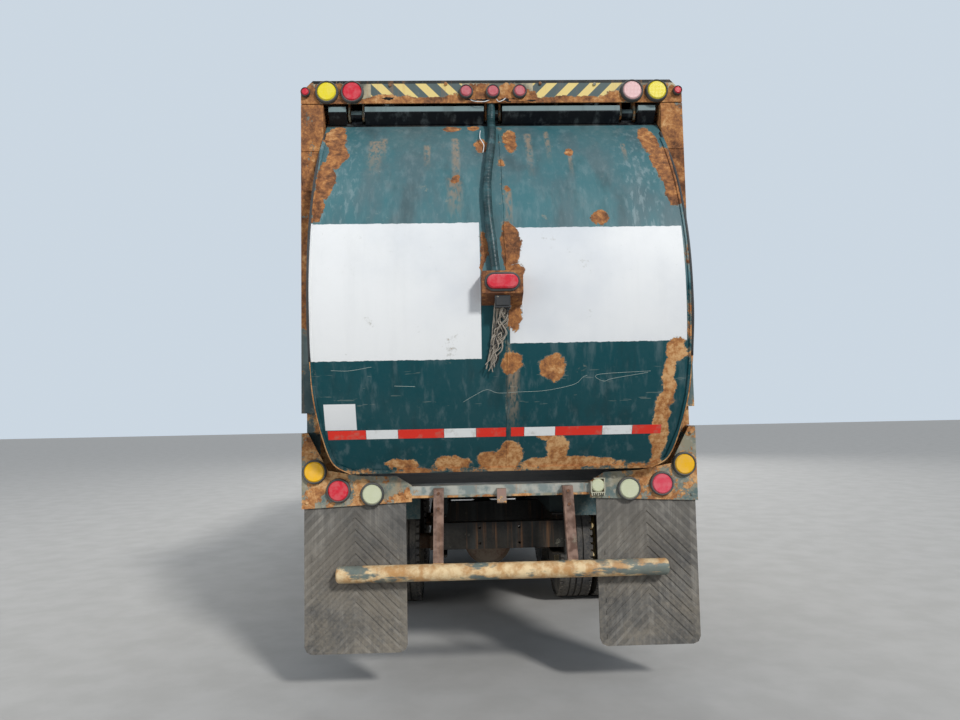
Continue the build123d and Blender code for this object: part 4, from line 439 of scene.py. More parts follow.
# Tones of old paint and dirt, and of the painted shade and highlight at the tailgate's top, by what they lie on
PAINT_CHALK, PAINT_SPECK = (0.40, 0.43, 0.40), (0.45, 0.46, 0.42)
RUN_PALE, RUN_DARK = (0.36, 0.42, 0.42), (0.012, 0.018, 0.018)
HALO_TAN = (0.32, 0.30, 0.23)
GATE_BLUE, GATE_STREAK, GATE_PAINTED_SHADE = (0.082, 0.150, 0.165), (0.26, 0.35, 0.36), (0.020, 0.080, 0.092)
RAIL_PAINTED_SHADOW, CREST_PAINTED_HIGHLIGHT = (0.0015, 0.003, 0.006), (0.20, 0.27, 0.27)
GATE_RUN, GATE_SCRAPE = (0.30, 0.22, 0.15), (0.42, 0.44, 0.36)
FIELD_GREY = (0.70, 0.72, 0.74)
STRIPE_DARK, STRIPE_BUFF = (0.085, 0.120, 0.118), (0.86, 0.66, 0.24)
CANOPY_DRAB, CANOPY_TAN, CANOPY_TOP = (0.15, 0.150, 0.115), (0.54, 0.46, 0.30), (0.004, 0.005, 0.005)
POST_DARK, POST_GREY = (0.045, 0.085, 0.090), (0.13, 0.18, 0.178)
PLATE_GREEN, PLATE_BUFF, PLATE_PALE = (0.10, 0.155, 0.150), (0.30, 0.27, 0.185), (0.36, 0.33, 0.25)
BAR_GREEN, BAR_PALE = (0.20, 0.25, 0.24), (0.46, 0.46, 0.40)
HOOK_BROWN = (0.30, 0.17, 0.13)
BODY_INSIDE = (0.070, 0.060, 0.050)
GUARD_TAN, GUARD_SAND, GUARD_GREEN = (0.52, 0.275, 0.100), (0.82, 0.62, 0.35), (0.075, 0.135, 0.140)
STRAP_BROWN, STRAP_DUSTY = (0.13, 0.070, 0.050), (0.30, 0.19, 0.145)


def rust_places(g, place, rows, ragged=0.05):
    """The strongest of a table of ovals, read at a place shaken by noise so their edges are ragged."""
    shake = g.noise(place, 9.0, 9.0, 0.74, "Color")
    offset = g.vector("MULTIPLY", g.vector("SUBTRACT", shake, (0.5, 0.5, 0.5)), (ragged * 2,) * 3)
    moved = g.vector("ADD", place, offset)
    spots = [g.use("Oval Spot", {"Vector": moved, "Centre": (x, 0, z), "Size": (half_x, 1, half_z)})["Mask"]
             for x, z, half_x, half_z in rows]
    return g.most(*spots)


def gate_wear(g, place):
    """Rust along the tailgate's seam, edges and lip, and in spots; little on the two large white fields."""
    spots = rust_places(g, place, GATE_RUST)
    x, _, z = g.axes(place)
    seam = g.band(g.distance(x, SEAM_X), 0.0, 0.055, 0.34, 0.0)
    edge = g.band(g.distance(x), 1.03, 1.09, 0.0, 0.30)
    lip = g.band(z, 1.36, 1.44, 0.40, 0.0)
    fields = [g.box_mask(x, z, *field) for field in WHITE_FIELDS[:2]]
    bare = g.add_up(1.0, g.times(g.most(*fields), -0.92))
    # no rust on the rail, which carries the canopy's painted shadow
    clean = g.band(z, 3.545, 3.560, 0.0, -0.5)
    return g.add_up(g.times(g.most(seam, edge, lip), bare), g.times(spots, 1.05), clean, -0.16)


def gate_paint(g, place):
    """Chalked upper door with painted shade deepening towards the canopy, the canopy's painted shadow on the
    rail with a painted highlight along its top, dark lower door and the painted-out fields.
    """
    c = colours()
    x, _, z = g.axes(place)
    drift = g.stretched(place, (5, 5, 0.35), 4)
    upper = g.mix(g.band(drift, 0.40, 0.66), c.faded, GATE_BLUE)
    streaks = g.band(g.stretched(place, (34, 34, 0.6), 4, 0.6, (0.9, 0, 0.3)), 0.50, 0.66)
    wet = g.most(g.between(x, (0.70, 0.80), (0.95, 1.0)), g.band(x, -0.86, -0.78, 0.8, 0), 0.22)
    upper = g.mix(g.times(streaks, wet, 0.6), upper, GATE_STREAK)
    # painted shade: the upper door darkens towards the canopy that shades it
    canopy_shade_mask = g.band(z, 2.85, 3.55)
    upper = g.mix(g.times(canopy_shade_mask, 0.45), upper, GATE_PAINTED_SHADE)
    tone = g.mix(g.band(z, *GATE_CHALKY), c.green, upper)
    # painted shadow of the canopy on the rail, then a painted highlight along the rail's lit top
    tone = g.mix(g.band(z, *GATE_RAIL_SHADOW), tone, RAIL_PAINTED_SHADOW)
    tone = g.mix(g.band(z, *GATE_CREST_HIGHLIGHT), tone, CREST_PAINTED_HIGHLIGHT)
    runs = []
    for middle, top, half, drop in GATE_RUNS:
        across = g.band(g.distance(x, middle), half * 0.3, half, 1, 0)
        down = g.times(g.band(z, top, top + 0.02, 1, 0), g.band(z, top - drop, top))
        runs.append(g.times(across, down))
    threads = g.band(g.stretched(place, (60, 60, 2.0), 3), 0.30, 0.60)
    tone = g.mix(g.times(g.most(*runs), threads, 0.85), tone, GATE_RUN)
    scrape = g.band(g.noise(g.vector("MULTIPLY", place, (3, 3, 22)), 2.2, 3, 0.5), 0.675, 0.69)
    near = g.between(z, (1.72, 1.76), (1.92, 2.0))
    tone = g.mix(g.times(scrape, near, 0.2), tone, GATE_SCRAPE)
    shaken = g.add_up(z, g.times(g.noise(place, 30, 3), 0.012))
    fields = [g.box_mask(x, z if field is SHARP_FIELD else shaken, *field, 0.0015) for field in WHITE_FIELDS]
    white = g.mix(g.band(g.noise(place, 1.1, 4), 0.35, 0.7), c.white, FIELD_GREY)
    return g.mix(g.most(*fields), tone, white)


def canopy_paint(g, place):
    """Slanted warning stripes on the lamp canopy's rear face."""
    x, y, z = g.axes(place)
    fold = g.distance(x, SEAM_X)
    slope = g.add_up(fold, g.times(z, -1.0))
    stripe = g.math("FRACT", g.times(slope, 1 / STRIPE_PITCH))
    cream = g.between(stripe, (0.04, 0.07), (0.53, 0.56))
    striped = g.mix(cream, STRIPE_DARK, STRIPE_BUFF)
    start, end = STRIPE_SPAN
    span = g.times(g.between(fold, (start, start + 0.005), (end - 0.005, end)),
                   g.band(y, POST_Y + 0.003, POST_Y + 0.006, 1, 0))
    base = g.mix(g.band(g.noise(place, 7, 5), 0.44, 0.60), CANOPY_DRAB, CANOPY_TAN)
    tone = g.mix(span, base, striped)
    return g.mix(g.band(z, 3.808, 3.811), tone, CANOPY_TOP)


def canopy_wear(g, place):
    """Rust along the canopy's lower edge, round its lamps and at the torn middle."""
    x, _, z = g.axes(place)
    lower = g.band(z, 3.690, 3.748, 0.55, 0.0)
    lamps = rust_places(g, place, CANOPY_RUST, 0.03)
    ends = g.band(g.distance(x), 0.84, 1.22, 0.0, 0.22)
    flakes = g.band(g.noise(place, 13, 6, 0.7), 0.50, 0.66, -0.06, 0.24)
    return g.add_up(lower, g.times(lamps, 0.80), ends, flakes, -0.22)


def post_wear(g, place):
    """Posts rust from the gap beside the tailgate outwards, most above the plate seam's height."""
    x, _, z = g.axes(place)
    inner = g.band(g.distance(x), 1.05, 1.19, 0.45, 0.08)
    tall = g.band(z, 2.2, 3.1, 0.05, 0.35)
    patches = g.band(g.stretched(place, (3, 3, 1.6), 5, 0.6), 0.42, 0.60, 0.0, 0.45)
    left = g.band(x, -1.0, 1.0, 0.21, 0.26)
    return g.add_up(g.times(inner, 1.3), tall, patches, left, -0.36)


def post_paint(g, place):
    """Posts: dark green, clouded grey."""
    return g.mix(g.band(g.noise(place, 2.4, 5), 0.40, 0.62), POST_DARK, POST_GREY)


def plate_paint(g, place):
    """Lamp plates: chalky green and buff, mottled, with a paler bar and a brown hook between them."""
    tone = g.mix(g.band(g.noise(place, 9, 6, 0.65), 0.42, 0.58), PLATE_GREEN, PLATE_BUFF)
    tone = g.mix(g.band(g.noise(place, 21, 5), 0.52, 0.64), tone, PLATE_PALE)
    x, y, z = g.axes(place)
    bar = g.mix(g.band(g.noise(place, 13, 5), 0.42, 0.60), BAR_GREEN, BAR_PALE)
    tone = g.mix(g.box_mask(x, z, *SILL_BAR, 0.006), tone, bar)
    hook = g.times(g.box_mask(x, z, *LATCH_HOOK), g.band(y, POST_Y - 0.004, POST_Y - 0.002, 1, 0))
    return g.mix(hook, tone, HOOK_BROWN)


def plate_wear(g, place):
    """The sill bar between the plates has kept its paint."""
    x, _, z = g.axes(place)
    return g.times(g.box_mask(x, z, *SILL_BAR, 0.006), -0.32)


def body_paint(g, place):
    """Cream field with a white painted-out panel and pin lines, over a dark green foot and rails."""
    c = colours()
    x, y, z = g.axes(place)
    y0, y1, z0, z1 = BODY_FIELD

    def inside(edge):
        return g.box_mask(y, z, y0 + edge, y1 - edge, z0 + edge, z1 - edge)

    cream = inside(0)
    line = g.add_up(inside(0.07), g.times(inside(0.085), -1.0))
    white = g.box_mask(y, z, y0 + 1.05, y1 - 0.35, 2.02, 3.08)
    tone = g.mix(cream, c.green, c.cream)
    tone = g.mix(line, tone, c.green)
    tone = g.mix(white, tone, c.white)
    facing = g.times(g.axes(g.add("ShaderNodeNewGeometry").outputs["Normal"])[0], x)
    return g.mix(g.band(facing, -0.02, 0.02), BODY_INSIDE, tone)


def cab_paint(g, place):
    """Cream cab with a dark green band under the windows and dark skirts."""
    c = colours()
    z = g.axes(place)[2]
    band = g.between(z, (1.448, 1.452), (1.648, 1.652))
    foot = g.band(z, 1.128, 1.132, 1, 0)
    return g.mix(g.most(band, foot), c.cream, c.green)


def guard_paint(g, place):
    """Underride bar: tan rust with green left in places; its straps brown."""
    z = g.axes(place)[2]
    cloud = g.stretched(place, (3.0, 3.0, 9.0), 6, 0.65, (3.1, 0, 0))
    tan = g.mix(g.band(g.noise(place, 11, 6, 0.65), 0.38, 0.62), GUARD_TAN, GUARD_SAND)
    tone = g.mix(g.times(g.band(cloud, 0.50, 0.57), 0.9), tan, GUARD_GREEN)
    brown = g.mix(g.band(g.noise(place, 16, 6), 0.40, 0.62), STRAP_BROWN, STRAP_DUSTY)
    return g.mix(g.band(z, *STRAP_Z), tone, brown)


def gate_chalk(g, place):
    """Chalk on the tailgate's upper half, up to the rail."""
    z = g.axes(place)[2]
    return g.times(g.band(z, 2.35, 2.55, 0.10, 0.42), g.band(z, 3.545, 3.552, 1, 0))


def blade_wear(g, place):
    """Fork tips and packer face rubbed bare and rusted."""
    return g.band(g.noise(place, 2.0, 6), 0.40, 0.60, 0.1, 0.5)


# Finishes for bare metal, rubber, glass and lenses

def rusted(name, pale, dust):
    """Bare steel rusted all over, with dark pits and dusty tan."""
    c = colours()
    g, place, shader = start_material(name)
    broad = g.noise(place, 3.5, 8, 0.66)
    fine = g.noise(place, 38, 8, 0.72)
    blend = g.add_up(g.times(broad, 0.55), g.times(fine, 0.45), pale)
    tone = g.ramp(blend, [(0.34, c.rust_dark), (0.46, (0.15, 0.055, 0.024)), (0.56, c.rust),
                          (0.70, c.rust_pale)])
    dusted = dusty(g, place, tone, dust)
    join(g, shader, Base_Color=dusted["Colour"], Roughness=g.add_up(0.70, g.times(fine, 0.25)),
         Normal=bump(g, g.add_up(fine, broad), 0.003, 0.8))


def steel(name, tone, rough, dust):
    """Bare metal with fine scratches along and a little grime."""
    g, place, shader = start_material(name)
    scratch = g.stretched(place, (240, 12, 240), 3, 0.6)
    cloud = g.noise(place, 5, 5)
    base = g.mix(g.band(cloud, 0.45, 0.7, 0.0, 0.5), tone, shifted(tone, 0.55))
    dusted = dusty(g, place, base, dust)
    metal = g.add_up(1.0, g.times(dusted["Mask"], -1.0))
    join(g, shader, Base_Color=dusted["Colour"], Metallic=metal,
         Roughness=g.add_up(rough, g.times(scratch, 0.15), g.times(cloud, 0.15)),
         Normal=bump(g, scratch, 0.0003, 0.4))


def rubber(name, tone, dust, grain, wear=0.35):
    """Matt rubber, greyed by weather and dust."""
    g, place, shader = start_material(name)
    cloud = g.noise(place, 4, 7, 0.65)
    fine = g.noise(place, grain, 5, 0.7)
    grey = g.mix(g.times(g.band(cloud, 0.40, 0.65), wear), tone, shifted(tone, 2.2, 0.02))
    dusted = dusty(g, place, grey, dust)
    join(g, shader, Base_Color=dusted["Colour"], Roughness=g.add_up(0.62, g.times(fine, 0.3)),
         Normal=bump(g, g.add_up(g.times(fine, 0.6), cloud), 0.0015, 0.6))


FLAP_HALF = 0.310
FLAP_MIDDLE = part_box("mudflaps")[1].x - FLAP_HALF
FLAP_RIB_START = 0.270 + FLAP_HALF
FLAP_RIB_PITCH = 0.072


def flap_rubber():
    """Mudflap rubber: streaked by spray, rubbed darker along its raised ribs, and dusty low down."""
    c = colours()
    g, place, shader = start_material("flap_rubber")
    falls = g.stretched(place, (30, 30, 1.4), 5, 0.65)
    cloud = g.noise(place, 3.0, 7, 0.65)
    x, _, z = g.axes(place)
    fold = g.distance(g.distance(x), FLAP_MIDDLE)
    rib = g.math("FRACT", g.times(g.add_up(z, fold, -FLAP_RIB_START), 1 / FLAP_RIB_PITCH))
    raised = g.between(rib, (0.0, 0.06), (0.62, 0.70))
    tone = g.mix(g.band(falls, 0.40, 0.68), c.flap, (0.235, 0.220, 0.195))
    rubbed = g.times(raised, g.band(g.noise(place, 7, 5, 0.65), 0.35, 0.60), 0.65)
    tone = g.mix(rubbed, tone, (0.062, 0.060, 0.057))
    tone = g.mix(g.times(g.band(cloud, 0.45, 0.62), 0.5), tone, (0.070, 0.067, 0.063))
    dusted = dusty(g, place, tone, 0.65)
    fine = g.noise(place, 90, 4, 0.7)
    height = g.add_up(g.times(raised, 0.8), g.times(fine, 0.5), g.times(falls, 0.5))
    join(g, shader, Base_Color=dusted["Colour"], Roughness=g.add_up(0.66, g.times(fine, 0.3)),
         Normal=bump(g, height, 0.0020, 0.7))


PRISM_RATE = 2 * pi / 0.009
THREAD_RATE = 2 * pi / 0.004
TAPE_CELL_RATE = 900.0
WRAP_PITCH = 0.024


def lens(name, tone, age=0.35, places=()):
    """Moulded lamp lens: crazed by the sun, of another tone in some places, with prisms in its bump."""
    g, place, shader = start_material(name)
    x, _, z = g.axes(place)
    for *place_box, other in places:
        tone = g.mix(g.box_mask(x, z, *place_box), tone, other)
    cloud = g.noise(place, 30, 5)
    tint = g.mix(g.times(g.band(cloud, 0.38, 0.66), age), tone, g.mix(0.25, tone, (0.75, 0.72, 0.68)))
    prism = g.add_up(g.times(g.waves(z, PRISM_RATE), 0.5), g.times(g.waves(x, PRISM_RATE), 0.5))
    join(g, shader, Base_Color=tint, Roughness=g.add_up(0.22, g.times(cloud, 0.2)),
         Emission_Color=tint, Emission_Strength=0.10, Coat_Weight=0.4,
         Normal=bump(g, prism, 0.0006, 0.5))


def glass(name):
    """Clear glass, a little smeared."""
    g, place, shader = start_material(name)
    smear = g.noise(place, 3, 5)
    join(g, shader, Base_Color=g.mix(g.band(smear, 0.4, 0.7), (0.62, 0.70, 0.70), (0.50, 0.55, 0.54)),
         Roughness=g.add_up(0.02, g.times(smear, 0.08)), Transmission_Weight=0.85, IOR=1.45)


def plastic(name, tone, grain=160, rough=0.5, dust=0.3):
    """Moulded plastic with a fine leather-like grain."""
    g, place, shader = start_material(name)
    fine = g.noise(place, grain, 3, 0.6)
    cloud = g.noise(place, 4, 4)
    base = g.mix(g.times(g.band(cloud, 0.4, 0.7), 0.4), tone, shifted(tone, 1.7, 0.01))
    dusted = dusty(g, place, base, dust)
    join(g, shader, Base_Color=dusted["Colour"], Roughness=g.add_up(rough, g.times(fine, 0.2)),
         Normal=bump(g, fine, 0.0006, 0.5))


def cloth(name, tone):
    """Woven seat cloth: crossed threads, worn lighter."""
    g, place, shader = start_material(name)
    x, y, z = g.axes(place)
    weave = g.times(g.waves(x, THREAD_RATE), g.waves(g.add_up(y, z), THREAD_RATE))
    cloud = g.noise(place, 6, 5)
    base = g.mix(g.band(cloud, 0.40, 0.66, 0, 0.5), tone, shifted(tone, 2, 0.03))
    base = g.mix(g.band(weave, -1, 1, 0.0, 0.35), base, shifted(tone, 0.5))
    join(g, shader, Base_Color=base, Roughness=0.85, Sheen_Weight=0.3, Normal=bump(g, weave, 0.0008, 0.5))


def tape(name, tone):
    """Reflective sheeting: fine cells under a clear skin, dirty at random."""
    g, place, shader = start_material(name)
    x, _, z = g.axes(place)
    cells = g.times(g.waves(g.add_up(x, z), TAPE_CELL_RATE),
                    g.waves(g.add_up(x, g.times(z, -1.0)), TAPE_CELL_RATE))
    dirt = g.band(g.noise(place, 14, 6, 0.65), 0.50, 0.66, 0.0, 0.35)
    base = g.mix(g.band(cells, 0.0, 0.6, 0.0, 0.12), tone, shifted(tone, 0.7))
    base = g.mix(dirt, base, colours().dust)
    join(g, shader, Base_Color=base, Roughness=g.add_up(0.28, g.times(dirt, 1.2)),
         Normal=bump(g, cells, 0.0001, 0.3))


def wrap(name, tone):
    """Shiny tape wound round the wiring: overlapping turns down its length."""
    g, place, shader = start_material(name)
    z = g.axes(place)[2]
    turn = g.math("FRACT", g.times(g.add_up(z, g.times(g.noise(place, 8, 2), 0.02)), 1 / WRAP_PITCH))
    lap = g.band(turn, 0.80, 0.98)
    cloud = g.noise(place, 12, 5)
    base = g.mix(g.band(cloud, 0.42, 0.65), tone, shifted(tone, 2.4, 0.01))
    base = g.mix(g.times(lap, 0.5), base, (0.08, 0.12, 0.12))
    join(g, shader, Base_Color=base, Roughness=g.add_up(0.26, g.times(cloud, 0.25)),
         Normal=bump(g, lap, 0.0012, 0.8))


# Which finish each CAD node takes

# x from, x to, z from, z to and tone of the lamps that differ from their lens's own tone
FADED_REDS = (
    (0.80, 1.0, 3.5, 4.0, (0.74, 0.44, 0.42)), (-0.25, 0.25, 3.5, 4.0, (0.50, 0.10, 0.12)),
    (0.9, 1.1, 1.1, 1.4, (0.66, 0.055, 0.090)),
)
CANOPY_AMBERS = ((-1.3, 1.3, 3.5, 4.0, (0.80, 0.66, 0.02)),)


def make_paints():
    """The weathered paints, from rows of name, paint and painted's other values."""
    c = colours()
    # name, paint, chalk, runs, rust, scale of the rust, dust, pattern, wear, stain
    for row in (
            ("tailgate_paint", c.green, gate_chalk, 0.75, 0.05, 5.5, 0.15, gate_paint, gate_wear, 0.0),
            ("canopy_paint", c.green, 0.35, 0.2, 0.0, 16.0, 0.25, canopy_paint, canopy_wear, 0.35),
            ("post_paint", c.green, 0.8, 0.5, 0.1, 4.5, 0.25, post_paint, post_wear, 0.3),
            ("plate_paint", c.green, 0.7, 0.15, 0.33, 7.0, 0.3, plate_paint, plate_wear, 0.4),
            ("body_paint", c.cream, 0.25, 0.35, -0.16, 4.0, 0.35, body_paint, None, 0.12),
            ("green_paint", c.green, 0.35, 0.35, -0.04, 5.0, 0.45, None, None, 0.15),
            ("deck_paint", c.green, 0.45, 0.3, 0.0, 6.0, 0.75, None, None, 0.15),
            ("cab_paint", c.cream, 0.25, 0.25, -0.20, 5.0, 0.30, cab_paint, None, 0.06),
            ("frame_paint", c.frame_black, 0.05, 0.2, -0.04, 6.0, 0.12),
            ("wheel_paint", c.cream, 0.35, 0.15, 0.0, 9.0, 0.50),
            ("blade_paint", c.green, 0.4, 0.3, 0.05, 6.0, 0.4, None, blade_wear),
            ("guard_paint", c.green, 0.15, 0.1, -0.06, 5.0, 0.25, guard_paint, None, 0.2)):
        painted(*row)


def make_finishes():
    """All the other materials, each under its own name."""
    c = colours()
    rusted("box_rust", -0.01, 0.1)
    rusted("cast_rust", -0.12, 0.75)
    steel("rod_chrome", (0.74, 0.75, 0.77), 0.12, 0.1)
    steel("tank_steel", (0.55, 0.56, 0.57), 0.35, 0.6)
    steel("stack_steel", (0.34, 0.31, 0.28), 0.45, 0.2)
    # near-black matt floor of the hold: painted shade for the dark gap under the tailgate's lip
    rubber("hold_paint", (0.010, 0.020, 0.021), 0.12, 40, 0.15)
    rubber("tyre_rubber", c.rubber, 0.5, 80)
    rubber("seal_rubber", (0.060, 0.062, 0.060), 0.35, 120, 0.5)
    flap_rubber()
    lens("red_lens", c.red_lens, 0.35, FADED_REDS)
    lens("amber_lens", c.amber_lens, 0.3, CANOPY_AMBERS)
    lens("clear_lens", c.clear_lens)
    glass("window_glass")
    plastic("dash_plastic", (0.045, 0.045, 0.046))
    plastic("mirror_plastic", (0.030, 0.031, 0.032), 200, 0.4)
    plastic("wire_skin", (0.30, 0.26, 0.21), 300, 0.55)
    plastic("scratch_pale", (0.34, 0.40, 0.36), 100, 0.6, 0.1)
    plastic("housing_plastic", (0.46, 0.44, 0.33), 120, 0.5, 0.4)
    # black for the torn holes: painted shade of the canopy's inside
    plastic("hole_painted_shade", (0.006, 0.006, 0.006), 100, 0.8, 0.0)
    cloth("seat_cloth", (0.050, 0.056, 0.064))
    tape("tape_red", c.tape_red)
    tape("tape_white", c.tape_white)
    wrap("loom_wrap", (0.010, 0.036, 0.040))


# finish, then the nodes that take it; a star stands for either side
NODE_FINISHES = (
    ("tailgate_paint", "tailgate_shell"), ("canopy_paint", "light_bar"), ("post_paint", "rear_frame"),
    ("plate_paint", "rear_sill"), ("guard_paint", "underride_guard"), ("flap_rubber", "mudflaps"),
    ("body_paint", "body_sides"), ("hold_paint", "body_floor"),
    ("green_paint", "body_roof", "hopper", "lift_arms"), ("deck_paint", "fenders", "ladder"),
    ("cab_paint", "cab_shell", "door_*"),
    ("frame_paint", "frame_rails", "driveline", "front_bumper", "grille"),
    ("cast_rust", "rear_axles", "front_axle", "knuckle_*"), ("blade_paint", "packer_panel", "forks"),
    ("tank_steel", "tanks"), ("stack_steel", "exhaust_stack"), ("box_rust", "tailgate_lamp_box"),
    ("green_paint", "lift_cylinder_barrels", "fork_cylinder_barrels", "tailgate_cylinder_barrels"),
    ("rod_chrome", "lift_cylinder_rods", "fork_cylinder_rods", "tailgate_cylinder_rods"),
    ("wheel_paint", "front_rim_*", "middle_rims_*", "rear_rims_*"),
    ("tyre_rubber", "front_tyre_*", "middle_tyres_*", "rear_tyres_*"),
    ("window_glass", "cab_glass", "door_glass_*"), ("dash_plastic", "dashboard"),
    ("mirror_plastic", "mirrors"), ("seat_cloth", "seats"), ("red_lens", "red_lamps", "tailgate_lamp"),
    ("amber_lens", "amber_lamps"), ("clear_lens", "clear_lamps"), ("loom_wrap", "tailgate_conduit"),
)


def coat(obj, finish):
    """Gives an object one finish."""
    material = bpy.data.materials[f"truck_{finish}"]
    if not obj.material_slots:
        obj.data.materials.append(None)
    for slot in obj.material_slots:
        slot.link = "OBJECT"
        slot.material = material


class Finish(bpy.types.Operator):
    """Coat every CAD node in its own weathered finish"""
    bl_idname = "truck.finish"
    bl_label = "Node Finishes"

    def execute(self, context):
        rust_group()
        paint_group()
        dust_group()
        spot_group()
        make_paints()
        make_finishes()
        for finish, *names in NODE_FINISHES:
            for name in names:
                for node in [name.replace("*", side) for side in SIDES] if "*" in name else [name]:
                    coat(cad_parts[node], finish)
        return {"FINISHED"}


# Stage: floor, sky, lights and camera

FLOOR_HALF = 60
SUN_PLACE, SUN_AIM = (6.5, -14.5, 10.5), (0, -4.0, 2.0)
SUN_POWER, SUN_ANGLE = 2.2, 0.14
LAMP_SIZE = 8.0
LAMPS = (
    # name, place, aim, power
    ("fill", (-10.0, -10.0, 4.0), (0, -3.0, 2.0), 300), ("nose", (4.0, 14.0, 9.0), (0, 3.0, 1.5), 720),
    ("top", (0.0, 1.0, 13.0), (0, 1.0, 0), 560),
)
CAMERA_PLACE = (-0.261, POST_Y - 4.4704, 1.7131)
CAMERA_YAW, CAMERA_PITCH, CAMERA_ROLL = 0.0325, 0.0715, -0.0195
CAMERA_LENS, CAMERA_SENSOR = 27, 36


def make_floor():
    """A wide pale floor, faintly clouded."""
    mesh = bmesh.new()
    bmesh.ops.create_grid(mesh, x_segments=1, y_segments=1, size=FLOOR_HALF)
    floor = keep(mesh, "floor")
    g, place, shader = start_material("floor_pale")
    cloud = g.band(g.noise(place, 3, 6), 0.3, 0.7)
    join(g, shader, Base_Color=g.mix(cloud, (0.40, 0.385, 0.36), (0.44, 0.425, 0.40)), Roughness=0.9)
    coat(floor, "floor_pale")
    return floor


def make_world():
    """A bluish dome that lights the truck, and a paler one where it is seen or mirrored."""
    world = bpy.data.worlds.new("studio")
    world.use_nodes = True
    world.node_tree.nodes.clear()
    g = Graph(world.node_tree)
    path = g.add("ShaderNodeLightPath").outputs
    seen = g.most(path["Is Camera Ray"], path["Is Glossy Ray"], path["Is Transmission Ray"])
    soft = g.add("ShaderNodeBackground", {"Color": (0.72, 0.84, 1.0, 1), "Strength": 0.42})
    pale = g.add("ShaderNodeBackground", {"Color": (0.60, 0.68, 0.76, 1), "Strength": 1.0})
    both = g.add("ShaderNodeMixShader", {0: seen, 1: soft.outputs[0], 2: pale.outputs[0]})
    g.add("ShaderNodeOutputWorld", {0: both.outputs[0]})
    return world


def add_light(light, place, aim, energy):
    """Links a light, turned from its place to what it is aimed at."""
    light.energy = energy
    lamp = bpy.data.objects.new(light.name, light)
    lamp.location = place
    lamp.rotation_euler = (Vector(aim) - Vector(place)).to_track_quat("-Z", "Y").to_euler()
    bpy.context.scene.collection.objects.link(lamp)


def make_camera():
    """The photograph's camera."""
    level = cos(CAMERA_PITCH)
    ahead = Vector((sin(CAMERA_YAW) * level, cos(CAMERA_YAW) * level, sin(CAMERA_PITCH)))
    across = Vector((cos(CAMERA_YAW), -sin(CAMERA_YAW), 0))
    above = across.cross(ahead)
    right = cos(CAMERA_ROLL) * across + sin(CAMERA_ROLL) * above
    up = cos(CAMERA_ROLL) * above - sin(CAMERA_ROLL) * across
    camera = bpy.data.objects.new("camera", bpy.data.cameras.new("camera"))
    camera.data.sensor_width = CAMERA_SENSOR
    camera.data.lens = CAMERA_LENS
    turn = Matrix((right, up, -ahead)).transposed().to_4x4()
    camera.matrix_world = Matrix.Translation(CAMERA_PLACE) @ turn
    bpy.context.scene.collection.objects.link(camera)
    return camera


class Stage(bpy.types.Operator):
    """Pale floor, soft studio light and the photograph's camera"""
    bl_idname = "truck.stage"
    bl_label = "Stage"

    def execute(self, context):
        scene = context.scene
        scene.view_settings.view_transform = "Standard"
        floor = make_floor()
        scene.world = make_world()
        sun = bpy.data.lights.new("key", "SUN")
        sun.angle = SUN_ANGLE
        add_light(sun, SUN_PLACE, SUN_AIM, SUN_POWER)
        for name, place, aim, power in LAMPS:
            light = bpy.data.lights.new(name, "AREA")
            light.size = LAMP_SIZE
            add_light(light, place, aim, power)
        scene.camera = make_camera()
        return {"FINISHED"}


def keep(mesh, name, finish=None, body=None, smooth=False):
    """Turns a bmesh into a finished piece that rides on a body."""
    bmesh.ops.recalc_face_normals(mesh, faces=mesh.faces)
    for face in mesh.faces:
        face.smooth = smooth
    data = bpy.data.meshes.new(name)
    mesh.to_mesh(data)
    mesh.free()
    piece = bpy.data.objects.new(name, data)
    bpy.context.scene.collection.objects.link(piece)
    if finish:
        coat(piece, finish)
    if body:
        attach(piece, body)
    return piece


# Shapes shared by the pieces

def slab(mesh, low, high):
    """Adds a box between two corners."""
    low, high = Vector(low), Vector(high)
    place = Matrix.Translation((low + high) / 2) @ Matrix.Diagonal((*(high - low), 1))
    return bmesh.ops.create_cube(mesh, size=1, matrix=place)["verts"]


def tube(mesh, points, radius, sides, taper=None):
    """Sweeps a closed round tube along points; taper gives the radius factor by share of the way."""
    points = [Vector(point) for point in points]
    last = len(points) - 1
    ring = bmesh.ops.create_circle(mesh, cap_ends=True, segments=sides, radius=1)["verts"]
    edges = list({edge for vert in ring for edge in vert.link_edges})
    side = None
    before = Matrix.Identity(4)
    for index, point in enumerate(points):
        ahead = (points[min(index + 1, last)] - points[max(index - 1, 0)]).normalized()
        side = ahead.orthogonal() if side is None else side - ahead * side.dot(ahead)
        side.normalize()
        size = radius * (taper(index / last) if taper else 1)
        here = Matrix((side * size, ahead.cross(side) * size, ahead)).transposed().to_4x4()
        here.translation = point
        if index:
            made = bmesh.ops.extrude_edge_only(mesh, edges=edges)["geom"]
            ring = [item for item in made if isinstance(item, bmesh.types.BMVert)]
            edges = [item for item in made if isinstance(item, bmesh.types.BMEdge) and item.is_boundary]
        bmesh.ops.transform(mesh, matrix=here @ before.inverted(), verts=ring)
        before = here
    bmesh.ops.edgeloop_fill(mesh, edges=edges)


def flowing(points, steps):
    """Points of a smooth curve through the given ones, with some steps from each to the next."""
    points = [Vector(point) for point in points]
    ends = [points[0] * 2 - points[1], *points, points[-1] * 2 - points[-2]]
    out = []
    for a, b, c, d in zip(ends, ends[1:], ends[2:], ends[3:]):
        for step in range(steps):
            t = step / steps
            out.append(0.5 * (2 * b + (c - a) * t + (2 * a - 5 * b + 4 * c - d) * t * t
                              + (3 * b - a - 3 * c + d) * t * t * t))
    return out + [points[-1]]


# an axis, and a direction across it
AXES = {"X": (Vector((1, 0, 0)), Vector((0, 0, 1))), "Y": (Vector((0, 1, 0)), Vector((0, 0, 1)))}


